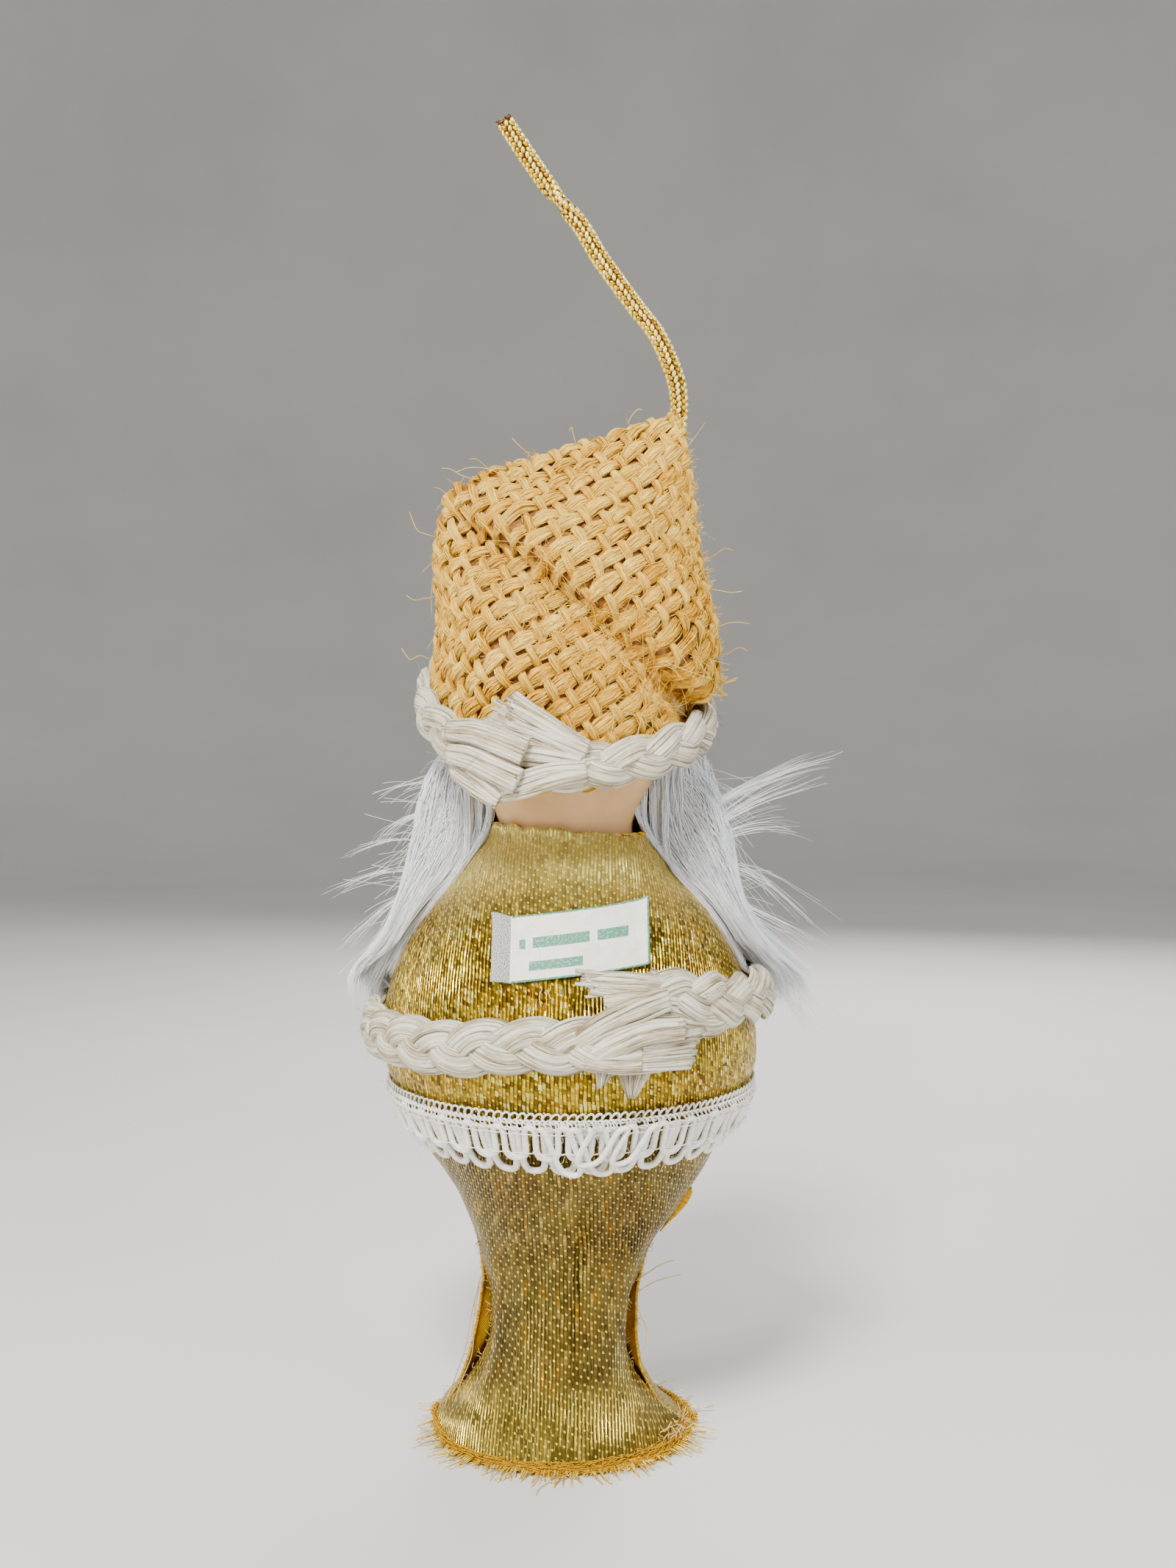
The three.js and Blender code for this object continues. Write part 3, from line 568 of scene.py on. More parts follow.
def make_cord():
    line = resample(CORD_PATH, 0.45)
    T = unit(np.gradient(line, axis=0))
    s = np.concatenate([[0], np.cumsum(np.linalg.norm(np.diff(line, axis=0), axis=1))])
    L = s[-1]
    # the broad side looks back (+Y), and turns edge on near the exit and at the twist
    back = np.array([0, 1.0, 0])
    side = unit(np.cross(T, back))
    nrm = np.cross(side, T)
    turn = rad(80) * np.exp(-((s - 62.5) / 3.0) ** 2) + rad(62) * smooth(16, 3, s)
    wide = side * np.cos(turn)[:, None] + nrm * np.sin(turn)[:, None]
    flat = -side * np.sin(turn)[:, None] + nrm * np.cos(turn)[:, None]
    hw = 1.78 + 0.08 * wave(s, 4, lo=0.1, hi=0.5)
    hn = 1.02 + 0.05 * wave(s, 5, lo=0.1, hi=0.5)
    b = Builder()
    sweep(b, line, flat, hw * 0.80, hn * 0.72, 14, rnd=0.0, power=0.85)

    def at(arr, q):
        return np.stack([np.interp(q, s, arr[:, k]) for k in range(3)], -1)
    # plaited stitches in columns round the flat cord; neighbouring columns lean opposite ways
    cols = 10
    pitch = 1.22
    al = np.arange(cols) / cols * TAU + TAU / cols / 2
    g = np.random.default_rng(8)
    P, N, R = [], [], []
    for k in range(cols):
        lean = 1 if k % 2 else -1
        s0 = np.arange(0.4 + (pitch / 2 if k % 2 else 0), L - 0.3, pitch)
        for c0 in s0:
            q = c0 + np.linspace(-0.85, 0.85, 6) + g.normal(0, 0.05)
            q = np.clip(q, 0, L)
            a = al[k] + lean * 0.26 * np.linspace(-1, 1, 6) + g.normal(0, 0.03)
            w, h = np.interp(q, s, hw), np.interp(q, s, hn)
            bow = 1.0 - 0.15 * np.abs(np.linspace(-1, 1, 6)) ** 2
            pw, ph = np.sign(np.cos(a)) * np.abs(np.cos(a)) ** 0.85, np.sign(np.sin(a)) * np.abs(np.sin(a)) ** 0.85
            P.append(at(line, q) + at(wide, q) * (pw * (w - 0.24) * bow)[:, None] + at(flat, q) * (ph * (h - 0.18) * bow)[:, None])
            N.append(unit(at(wide, q) * (np.cos(a) / w)[:, None] + at(flat, q) * (np.sin(a) / h)[:, None]))
            R.append(min(1.0, max(0.0, (0.22 if k % 2 else 0.80) + g.normal(0, 0.14))))
    sweep(b, np.array(P), np.array(N), np.array([0.14, 0.34, 0.44, 0.44, 0.34, 0.14])[None, :] * np.ones((len(P), 1)), np.array([0.12, 0.26, 0.34, 0.34, 0.26, 0.12])[None, :] * np.ones((len(P), 1)), 8, rnd=np.array(R))
    # blunt cut end with a little glue
    end, t = line[-1], T[-1]
    for j in range(34):
        o = wide[-1] * RNG.uniform(-1.5, 1.5) + flat[-1] * RNG.uniform(-0.8, 0.8)
        q = np.array([end - t * 1.6 + o * 0.9, end + o, end + t * RNG.uniform(0.1, 0.8) + o * 1.08 + RNG.normal(0, 0.12, 3)])
        sweep(b, resample(q, 0.4), back, 0.15, 0.11, 5, rnd=RNG.uniform())
    for j in range(12):
        o = wide[-1] * RNG.uniform(-1.6, 0.2) + flat[-1] * RNG.uniform(0.3, 1.0)
        q = end - t * RNG.uniform(-0.4, 0.9) + o
        d = RNG.normal(0, 0.14, 3)
        sweep(b, np.array([q - d, q, q + d]), back, RNG.uniform(0.12, 0.28), 0.12, 6, mat=1)
    ob = b.make("hanging_cord_braid", [gilt, glue], replaces=["hanging_cord"])
    return L


CORD_LEN = make_cord()


# ------------------------------------------------------------------ robe panels
SEAM_L, SEAM_R = 84.0, -80.0


def slit(z):
    z = np.asarray(z, float)
    return np.where((z <= 4) | (z >= 36), 0.0, np.where(z < 20, smooth(4, 20, z), 1 - smooth(20, 36, z)))


def robe_disp(deg, z, which):
    """How far the cloth stands off the plain form: soft folds, the gathered waist, the dart."""
    a = rad(deg)
    waist = np.exp(-((z - 27) / 15.0) ** 2)
    d = waist * (0.30 * np.sin(a * 7 + 1.0 + z * 0.02) + 0.18 * np.sin(a * 13 + 2.2 - z * 0.03))
    d = d + 0.22 * np.sin(a * 5 + 0.6) * np.exp(-((z - 50) / 10.0) ** 2)
    d = d + 0.10 * wave(a * 3.0 + z * 0.05, 11) + 0.35 * smooth(112, 119, z) * np.sin(a * 9 + 0.5) * 0.5
    # pulled in a little under the belt and the gimp
    d = d - 0.25 * np.exp(-((z - 81) / 4.0) ** 2)
    if which == "back":
        # dart under the label: a pinch with a narrow opening
        x = robe_r(deg, z) * np.sin(a)
        dz = (z - 89.6)
        pinch = np.exp(-((x - 3.7) / 0.45) ** 2) * np.exp(-(dz / 2.6) ** 2)
        lips = np.exp(-((np.abs(x - 3.7) - 1.2) / 0.7) ** 2) * np.exp(-(dz / 3.0) ** 2)
        d = d - 1.5 * pinch + 0.45 * lips
        # a soft crease down the skirt under the gimp's joint
        d = d - 0.55 * np.exp(-((deg + 10 + (z - 45) * 0.12) / 3.2) ** 2) * smooth(8, 28, z) * (1 - smooth(44, 54, z))
        d = d - 3.3 * slit(z) * smooth(25, 80, deg)
        d = d - 2.1 * slit(z) * smooth(-36, -76, deg)
    else:
        dd = np.mod(deg, 360)
        # the front panel's edges turn outwards at the open slits, so its orange wrong side shows
        d = d + slit(z) * (2.6 * smooth(97, 86.5, dd) - 3.5 * smooth(128, 97, dd))
        d = d + slit(z) * (2.2 * smooth(266, 277.5, dd) - 2.4 * smooth(236, 265, dd))
    # the hem's corners lift off the floor
    return d


def robe_panel(name, which, lo, hi, nu, nv, node):
    t = np.linspace(0, 1, nu)[:, None]
    z = np.concatenate([np.linspace(0.4, 5, 14)[:-1], np.linspace(5, 119.4, nv - 13)])[None, :]
    r0 = robe_r((lo + hi) / 2, z)
    open_lo, open_hi = (1.9 * slit(z) + 0.18, 1.9 * slit(z) + 0.18)
    if which == "back":
        open_hi = open_hi + 0.6 * slit(z)
        open_lo = open_lo + 1.2 * slit(z)
    else:
        open_hi = 0.18 + 0.0 * z  # its edge shows outside the back panel's on the -X side
        open_lo = 0.18 + 0.5 * slit(z)
    a0, a1 = lo + open_lo / r0 * 57.3, hi - open_hi / r0 * 57.3
    deg = a0 + (a1 - a0) * t
    z = np.broadcast_to(z, deg.shape).copy()
    # the cut edges wander a little
    z[:, -1] = z[:, -1] + 0.5 * wave(deg[:, -1] * 0.12, 31) + np.where(np.sin(rad(deg[:, -1])) > 0, 1.0, -1.6) * np.abs(np.sin(rad(deg[:, -1]))) * (1 if which == "back" else 0)
    z[:, -2] = 0.5 * (z[:, -1] + z[:, -3])
    z[:, 0] = z[:, 0] + 0.12 * np.abs(wave(deg[:, 0] * 0.6, 32))
    zc = np.clip(z, 0.4, 119.4)
    P, N = robe_surf(deg, zc, robe_disp(deg, zc, which))
    P[..., 2] += z - zc
    # the hem's corners lift off the floor a little at the slits
    dl = np.mod(deg + 180, 360) - 180
    up = 1.9 * smooth(54, 84, dl) * smooth(112, 86, dl) + 1.2 * smooth(-56, -80, dl) * smooth(-104, -82, dl)
    P[..., 2] += up * smooth(7.0, 0.4, zc)
    # cloth coordinates in mm: across from the panel's middle, and up the middle meridian
    mid = (lo + hi) / 2
    zz = np.linspace(0.4, 119.4, 800)
    rr = (RL(zz) + RR(zz)) / 2
    ss = np.concatenate([[0], np.cumsum(np.hypot(np.diff(zz), np.diff(rr)))])
    V = np.interp(z, zz, ss)
    U = robe_r(deg, zc) * rad(deg - mid)
    A = np.stack([U, V, zc], -1)
    du, dv = np.gradient(P, axis=0), np.gradient(P, axis=1)
    Nn = unit(np.cross(dv, du))
    if (Nn * N).sum() < 0:
        Nn = -Nn
    T = 0.55
    Q = P - Nn * T
    b = Builder()
    m = nu * nv
    q = grid_faces(nu, nv)
    jrow = (q[:, 0] % nv)
    outer_mat = np.where(jrow < 3, 2, 0)
    verts = np.concatenate([P.reshape(-1, 3), Q.reshape(-1, 3)])
    attr = np.concatenate([A.reshape(-1, 3)] * 2)
    idx = np.arange(m).reshape(nu, nv)
    ring = np.concatenate([idx[:-1, 0], idx[-1, :-1], idx[1:, -1][::-1], idx[0, 1:][::-1]])
    nxt = np.roll(ring, -1)
    edge = np.stack([ring, nxt, nxt + m, ring + m], -1)
    # face order so that normals point outwards
    test = np.cross(P[1, 0] - P[0, 0], P[0, 1] - P[0, 0]) @ N[0, 0]
    fo = q if test > 0 else q[:, ::-1]
    fi = (q[:, ::-1] if test > 0 else q) + m
    ed = edge[:, ::-1] if test > 0 else edge
    b.add(verts, [fo, fi, ed], attr, 0)
    b.m = [outer_mat, np.full(len(fi), 1), np.full(len(ed), 2)]
    ob = b.make(name, [lame, orange, raw_edge], replaces=[node])
    area = float(np.linalg.norm(np.cross(P[1:, :-1] - P[:-1, :-1], P[:-1, 1:] - P[:-1, :-1]), axis=-1).sum())
    wid = float((np.linalg.norm(np.diff(P, axis=0), axis=-1).sum(0)).max())
    leng = float((np.linalg.norm(np.diff(P, axis=1), axis=-1).sum(1)).max())
    return ob, (wid, leng, area), (P, Nn, deg, z)


back_ob, back_flat, back_grid = robe_panel("robe_back_cloth", "back", SEAM_R, SEAM_L, 170, 214, "robe_back_panel")
front_ob, front_flat, front_grid = robe_panel("robe_front_cloth", "front", SEAM_L, SEAM_R + 360, 190, 214, "robe_front_panel")


def hem_threads():
    """Raw hems and edges: short gilt threads, pale whiskers and a few long loose ends."""
    b = Builder()
    for (P, N, deg, z), cnt, seed in ((back_grid, 230, 1), (front_grid, 120, 2)):
        g = np.random.default_rng(seed)
        i = g.integers(2, P.shape[0] - 2, cnt)
        root = P[i, 2] + N[i, 2] * 0.12
        down = unit(P[i, 0] - P[i, 4])
        side = unit(P[i + 1, 0] - P[i - 1, 0])
        L = (1.2 + 5.4 * g.uniform(0, 1, cnt) ** 2.2)[:, None]
        run = unit(N[i, 2] * [1, 1, 0])
        k = g.normal(0, 0.40, cnt)[:, None]
        p1 = root + down * 0.5 + run * (L * g.uniform(0.35, 0.55, cnt)[:, None]) + side * k * 0.3
        p2 = p1 + run * (L * g.uniform(0.4, 0.55, cnt)[:, None]) + side * k * 1.4 + np.array([0, 0, 1.0]) * g.uniform(-0.8, 0.3, cnt)[:, None]
        S = np.stack([root, (root + p1) / 2 + run * 0.10, p1, (p1 + p2) / 2, p2], 1)
        S[..., 2] = np.maximum(S[..., 2], 0.12)
        sweep(b, S, np.array([0, 0, 1.0]), g.uniform(0.11, 0.24, cnt)[:, None] * np.array([1, 1, 1, 0.95, 0.8]), 0.07, 4, rnd=g.uniform(0, 1, cnt), mat=0)
        # the soft orange ground thread frays along the cut
        c2 = 1100
        i = g.integers(3, P.shape[0] - 3, c2)
        j = g.integers(0, 5, c2)
        root = P[i, j] + N[i, j] * 0.1
        side = unit(P[i + 1, j] - P[i - 1, j])
        L = g.uniform(0.6, 2.4, c2)[:, None]
        tt = np.linspace(0, 1, 5)
        S = root[:, None] + side[:, None] * (L * (tt - 0.5))[..., None] + N[i, j][:, None] * (g.uniform(0.1, 0.8, c2)[:, None] * np.sin(tt * math.pi)[None])[..., None] + g.normal(0, 0.35, (c2, 3))[:, None] * tt[None, :, None] * [1, 1, 0.7]
        S[..., 2] = np.maximum(S[..., 2], 0.12)
        sweep(b, S, N[i, j][:, None, :], 0.09, 0.08, 3, rnd=g.uniform(0, 1, c2), mat=2)
    # pale flecks at the foot's -X end
    g = np.random.default_rng(5)
    for _ in range(26):
        d = g.uniform(-80, -52)
        p, n = robe_surf(d, 1.2 + g.uniform(0, 1.8), 0.5)
        q = np.array([p, p + n * g.uniform(0.4, 1.4) + g.normal(0, 0.5, 3), p + n * g.uniform(0.6, 1.6) + g.normal(0, 0.9, 3)])
        q[:, 2] = np.maximum(q[:, 2], 0.15)
        sweep(b, resample(q, 0.5), n, 0.12, 0.10, 4, rnd=g.uniform(), mat=1)
    # the seam's raw edge stands out below the gimp on the -X side
    zz = np.linspace(48.6, 39.6, 26)
    lip, ln = robe_surf(-81.0, zz, 0.25)
    lip = lip + np.stack([0 * zz, 0.2 * wave(zz * 0.3, 77), 0 * zz], -1)
    tall = 0.80 * smooth(48.7, 47.6, zz) * smooth(39.4, 46.5, zz) * (1 + 0.25 * wave(zz * 0.8, 78))
    sweep(b, lip, ln, 0.18, tall + 0.10, 8, rnd=0.5, mat=2)
    sweep(b, lip + [0, 0.40, 0], ln, 0.12, tall * 0.75 + 0.08, 8, rnd=0.7, mat=2)
    ob = b.make("robe_hem_threads", [strip, straw, raw_edge])
    # long loose threads at the slits and hem
    c = Builder()
    long = [
        [(16.8, 3.0, 30.5), (18.4, 4.2, 24), (19.6, 6.5, 17.5), (22.2, 6.0, 10), (24.0, 6.5, 5.2)],
        [(17.0, 4.5, 29.0), (18.0, 7.0, 23), (18.2, 8.0, 17), (20.5, 8.5, 11), (21.5, 9.5, 8.0)],
        [(-13.8, 5.6, 30.5), (-16.2, 6.6, 32.4), (-18.6, 7.0, 34.0), (-21.2, 7.4, 35.0)],
        [(-14.0, 5.2, 28.0), (-17.0, 6.2, 30.2), (-20.4, 7.0, 31.6), (-22.4, 7.6, 32.2)],
        [(-13.6, 5.4, 26.0), (-15.8, 7.4, 21.0), (-15.2, 8.2, 15.6), (-17.2, 8.0, 11.0)],
        [(1.6, 26.3, 1.2), (2.0, 27.6, 0.7), (3.2, 29.6, 0.25), (4.6, 32.0, 0.2), (5.0, 34.6, 0.2)],
        [(9.0, 24.6, 1.2), (9.6, 26.2, 0.6), (10.8, 27.2, 0.3), (13.0, 27.8, 0.25)],
        [(3.9, 34.6, 91.8), (4.3, 36.2, 90.6), (4.0, 36.9, 88.9)],
        [(3.5, 34.2, 91.0), (2.9, 36.0, 91.6), (2.3, 36.4, 90.2)],
    ]
    for k, w in enumerate(long):
        sweep(c, resample(w, 0.5), (0, 1, 0), 0.11, 0.10, 5, rnd=k / 9)
    # whiskers along the open slit edges
    g = np.random.default_rng(6)
    for (P, N, deg, z), col in ((back_grid, 0), (back_grid, -1), (front_grid, 0), (front_grid, -1)):
        js = g.integers(10, 70, 34)
        for j in js:
            p, n = P[col, j], N[col, j]
            out = unit(P[col, j] - P[4 if col == 0 else -5, j])
            q = np.array([p, p + out * g.uniform(0.3, 0.9) + n * g.uniform(-0.1, 0.4), p + out * g.uniform(0.5, 1.9) + n * g.uniform(-0.4, 0.8) + np.array([0, 0, g.normal(0, 0.7)])])
            sweep(c, resample(q, 0.45), n, 0.06, 0.05, 3, rnd=g.uniform())
    ob2 = c.make("robe_loose_threads", [straw])
    return ob, ob2


hem_ob, loose_ob = hem_threads()


# ------------------------------------------------------------------ three-strand raffia braid
def braid(b, C, W, N, half, thick, lp, seed, taper0=0.0, taper1=0.0, mat=0, strand_w=2.2, strand_t=0.9, nr=23):
    """C is the centre line (n,3), W the direction across the braid, N outwards. lp is one strand's period.
    Every strand is a bundle of flat ribbons laid round a core."""
    s = np.concatenate([[0], np.cumsum(np.linalg.norm(np.diff(C, axis=0), axis=1))])
    L = s[-1]
    g = np.random.default_rng(seed)
    for k in range(3):
        th = TAU * s / lp + TAU * k / 3
        wob = 1 + 0.07 * wave(s, seed * 7 + k, lo=0.1, hi=0.5)
        lat = half * np.sin(th) * wob
        dep = thick * np.sin(2 * th)
        P = C + W * lat[:, None] + N * dep[:, None]
        Nn = unit(N + W * (0.42 * np.sin(th))[:, None])
        T = unit(np.gradient(P, axis=0))
        Bn = unit(np.cross(T, Nn))
        Nn = np.cross(Bn, T)
        rw = strand_w * (1 + 0.08 * wave(s, seed * 5 + k + 50, lo=0.1, hi=0.6))
        rn = strand_t * (1 + 0.10 * wave(s, seed * 5 + k + 70, lo=0.1, hi=0.6))
        if taper0:
            rn = rn * (0.45 + 0.55 * smooth(0, taper0, s))
        if taper1:
            rn = rn * (0.45 + 0.55 * smooth(L, L - taper1, s))
        # the core under the ribbons takes a darker tone (rnd 0.25), painted shade in the grooves between them
        sweep(b, P, Nn, rw * 0.90, rn * 0.86, 14, rnd=0.25, power=0.9, mat=mat, u0=g.uniform(0, 40))
        for i in range(nr):
            al = TAU * (i + g.uniform(-0.3, 0.3)) / nr + 0.22 * wave(s, seed * 31 + k * 20 + i, lo=0.03, hi=0.25)
            lift = 1 + 0.055 * g.normal() + 0.07 * wave(s, seed * 37 + k * 20 + i, lo=0.1, hi=0.6)
            Q = P + Bn * (np.cos(al) * rw * lift)[:, None] + Nn * (np.sin(al) * rn * lift)[:, None]
            M = unit(Bn * (np.cos(al) / rw)[:, None] + Nn * (np.sin(al) / rn)[:, None])
            hw = (0.36 + 0.14 * np.abs(np.sin(al))) * (1 + 0.18 * wave(s, seed * 41 + k * 20 + i, lo=0.1, hi=0.5)) * strand_w / 2.2
            sweep(b, Q, M, hw, 0.15, 6, rnd=g.uniform(), power=0.85, mat=mat, u0=g.uniform(0, 60))


def ribbons(b, r0, r1, e0, e1, rad0, rad1, seed, count=26, hw=0.42, fray=0.5, y_fn=None, wav=0.25, layers=2, mat=0, curl=0.0, crumple=1.0):
    """Flat fibres that run over a round surface at the back, from the line r0-r1 to the line e0-e1, each (x, z).
    rad0 and rad1 are the radii of the surface at the two lines."""
    g = np.random.default_rng(seed)
    n = 9
    t = np.linspace(0, 1, n)[None, :]
    r0, r1, e0, e1 = (np.asarray(v, float) for v in (r0, r1, e0, e1))
    for lay in range(layers):
        k = (np.linspace(0, 1, count) + g.normal(0, 0.25 / count, count))[:, None]
        end = 1 + fray * 0.12 * g.normal(0, 1, count)[:, None] - 0.06 * lay
        tt = t * end
        A = r0 + (r1 - r0) * k
        E = e0 + (e1 - e0) * k
        X = A[:, None, 0] + (E - A)[:, None, 0] * tt
        Z = A[:, None, 1] + (E - A)[:, None, 1] * tt
        w = wav * np.sin(t * math.pi * 1.5 + g.uniform(0, 6, count)[:, None]) * t * g.uniform(0, 1, count)[:, None]
        kk = k * (count / 5.0)
        Z = Z + w + crumple * 0.32 * wave(kk + t * 1.7, seed * 3 + 1, lo=0.2, hi=1.0) * t
        X = X + crumple * 0.45 * wave(kk * 0.8 + 0 * t, seed * 3 + 2, lo=0.2, hi=1.2) * t
        R = rad0 + (rad1 - rad0) * tt - 0.22 * lay + 0.16 * g.normal(0, 1, count)[:, None] * t + 0.12 * (np.arange(count) % 2)[:, None] + curl * t ** 3 + crumple * 0.42 * wave(kk * 0.9 + t * 2.2, seed * 3 + 3, lo=0.2, hi=1.0) * t ** 0.7
        Y = np.sqrt(np.maximum(R * R - X * X, 1))
        P = np.stack([X, Y, Z], -1)
        N = unit(np.stack([X, Y, 0 * X], -1))
        width = hw * (1 + (np.linalg.norm(e1 - e0) / max(np.linalg.norm(r1 - r0), 0.5) - 1) * 0.5 * t) * g.uniform(0.75, 1.2, count)[:, None]
        sweep(b, P, N, width, 0.13, 6, rnd=g.uniform(0, 1, count), mat=mat, power=0.85, u0=g.uniform(0, 50))


def bundle(b, pts, w, h, seed, nr=24, cut=0.5, mat=0):
    """A thick bundle of ribbons on a round surface at the back, cut off at its end. pts are (x, z, radius)."""
    g = np.random.default_rng(seed)
    q = resample(pts, 0.5)
    X, Z, R = q[:, 0], q[:, 1], q[:, 2]
    P = np.stack([X, np.sqrt(np.maximum(R * R - X * X, 1)), Z], -1)
    T = unit(np.gradient(P, axis=0))
    Bn = unit(np.cross(T, unit(P * [1, 1, 0])))
    Nn = np.cross(Bn, T)
    s = np.concatenate([[0], np.cumsum(np.linalg.norm(np.diff(P, axis=0), axis=1))])
    rw, rn = (np.interp(s / s[-1], np.linspace(0, 1, len(v)), v) for v in (w, h))
    m = len(P) - int(1.2 * cut / 0.5)
    # the core takes a darker tone (rnd 0.3), painted shade between the ribbons
    sweep(b, P[:m], Nn[:m], (rw * 0.88)[:m], (rn * 0.80)[:m], 14, rnd=0.3, power=0.9, mat=mat, u0=g.uniform(0, 40))
    for i in range(nr):
        al = TAU * (i + g.uniform(-0.4, 0.4)) / nr + 0.22 * wave(s, seed * 31 + i, lo=0.03, hi=0.3)
        lift = 1 + 0.06 * g.normal() + 0.07 * wave(s, seed * 37 + i, lo=0.1, hi=0.6)
        Q = P + Bn * (np.cos(al) * rw * lift)[:, None] + Nn * (np.sin(al) * rn * lift)[:, None]
        M = unit(Bn * (np.cos(al) / rw)[:, None] + Nn * (np.sin(al) / rn)[:, None])
        n = max(6, len(P) - int(abs(g.normal(0, cut)) / 0.5))
        hw = (0.36 + 0.16 * np.abs(np.sin(al))) * (1 + 0.18 * wave(s, seed * 41 + i, lo=0.1, hi=0.5))
        sweep(b, Q[:n], M[:n], hw[:n], 0.15, 6, rnd=g.uniform(), power=0.85, mat=mat, u0=g.uniform(0, 60))


def whiskers(b, C, W, N, T, seed, count, reach=3.4, lo=2.4, hi=4.4):
    g = np.random.default_rng(seed)
    for _ in range(count):
        i = g.integers(0, len(C) - 12)
        p = C[i] + W[i] * g.uniform(-reach, reach) + N[i] * 1.6
        d = unit(T[i] * g.choice([-1, 1]) + W[i] * g.normal(0, 0.5) + N[i] * 0.3)
        q = np.array([p, p + d * 1.6, p + d * g.uniform(lo, hi) + N[i] * g.uniform(0.1, 1.0)])
        sweep(b, resample(q, 0.6), N[i], 0.05, 0.04, 3, rnd=g.uniform(0.5, 1))


def make_belt():
    b = Builder()
    deg = np.linspace(-24, -377, 330)
    z = BZ(deg) + 0.5
    rin = np.max(np.stack([robe_r(deg, z + dz) for dz in (-4.2, -2.1, 0, 2.1, 4.2)]), 0)
    r = rin + 1.75 + 0.35
    s, c = np.sin(rad(deg)), np.cos(rad(deg))
    C = np.stack([r * s, r * c, z], -1)
    N = np.stack([s, c, np.zeros_like(s)], -1)
    # lean with the robe's slope, so the braid lies on it
    slope = (robe_r(deg, z + 3) - robe_r(deg, z - 3)) / 6
    N = unit(N + np.stack([0 * s, 0 * s, -slope * 0.6], -1))
    T = unit(np.gradient(C, axis=0))
    W = unit(np.cross(T, N))
    W = W * np.sign(W[:, 2:3])
    braid(b, C, W, N, 2.72, 0.86, 27.0, 3, strand_w=2.42, strand_t=0.96)
    whiskers(b, C, W, N, T, 9, 60)
    # upper end: two bundles that run out in a slanted frayed edge
    bundle(b, [(-20.0, 91.4, 38.0), (-14.5, 92.3, 38.6), (-9.5, 92.8, 38.4), (-4.9, 93.1, 37.0)], [1.9, 2.2, 2.2, 1.7], [0.9, 0.95, 0.8, 0.45], 41, cut=1.3)
    ribbons(b, (-10.0, 94.6), (-10.0, 91.4), (-3.4, 95.2), (-5.8, 90.8), 38.6, 37.3, 48, 20, 0.26, fray=1.6)
    bundle(b, [(-21.0, 88.2, 38.8), (-16.0, 89.3, 39.6), (-11.5, 89.6, 39.6), (-7.2, 89.3, 38.6)], [1.9, 2.2, 2.1, 1.5], [0.9, 0.95, 0.85, 0.55], 42, cut=1.1)
    # lower end, on top of the upper strand: three bundles with blunt cuts
    bundle(b, [(-2.0, 82.6, 39.9), (-6.5, 85.8, 41.0), (-12.0, 88.4, 41.9), (-18.6, 90.5, 42.2)], [1.7, 2.2, 2.4, 2.0], [0.7, 0.95, 0.95, 0.75], 43, cut=0.4)
    bundle(b, [(-5.0, 80.4, 40.4), (-10.0, 83.0, 41.4), (-15.0, 84.9, 41.9), (-21.4, 85.0, 42.0)], [1.8, 2.4, 2.3, 2.0], [0.7, 0.95, 0.95, 0.7], 44, cut=0.5)
    bundle(b, [(-4.0, 80.2, 40.2), (-9.5, 79.8, 40.9), (-16.0, 80.2, 40.7), (-23.2, 81.2, 40.0)], [1.7, 2.4, 2.8, 3.1], [0.7, 0.95, 0.9, 0.65], 45, nr=30, cut=0.7)
    ribbons(b, (-14.0, 83.6), (-14.0, 78.2), (-24.6, 84.4), (-22.4, 77.6), 41.9, 40.9, 49, 24, 0.30, fray=0.5, wav=0.1, crumple=0.7)
    # two flat wedges of spare raffia under the belt
    ribbons(b, (-9.9, 79.5), (-5.7, 79.5), (-7.7, 75.6), (-6.0, 74.6), 40.2, 39.4, 46, 18, 0.26, fray=0.3, wav=0.1, crumple=0.4)
    ribbons(b, (-16.8, 79.4), (-9.3, 79.4), (-12.8, 72.8), (-11.3, 73.2), 40.5, 39.7, 47, 26, 0.26, fray=0.25, wav=0.1, crumple=0.4)
    # a slack loop of the upper strand that shows beside the cut ends
    bundle(b, [(-11.0, 87.2, 39.2), (-17.5, 86.8, 39.2), (-23.5, 84.9, 39.0), (-28.0, 84.3, 38.9), (-31.6, 86.6, 39.4), (-34.0, 89.0, 38.6)], [1.8, 2.0, 2.1, 2.0, 1.8, 1.4], [0.7, 0.85, 0.9, 0.85, 0.8, 0.5], 50, cut=0.3)
    return b.make("waist_belt_braid", [raffia], replaces=["belt_braid"])


make_belt()


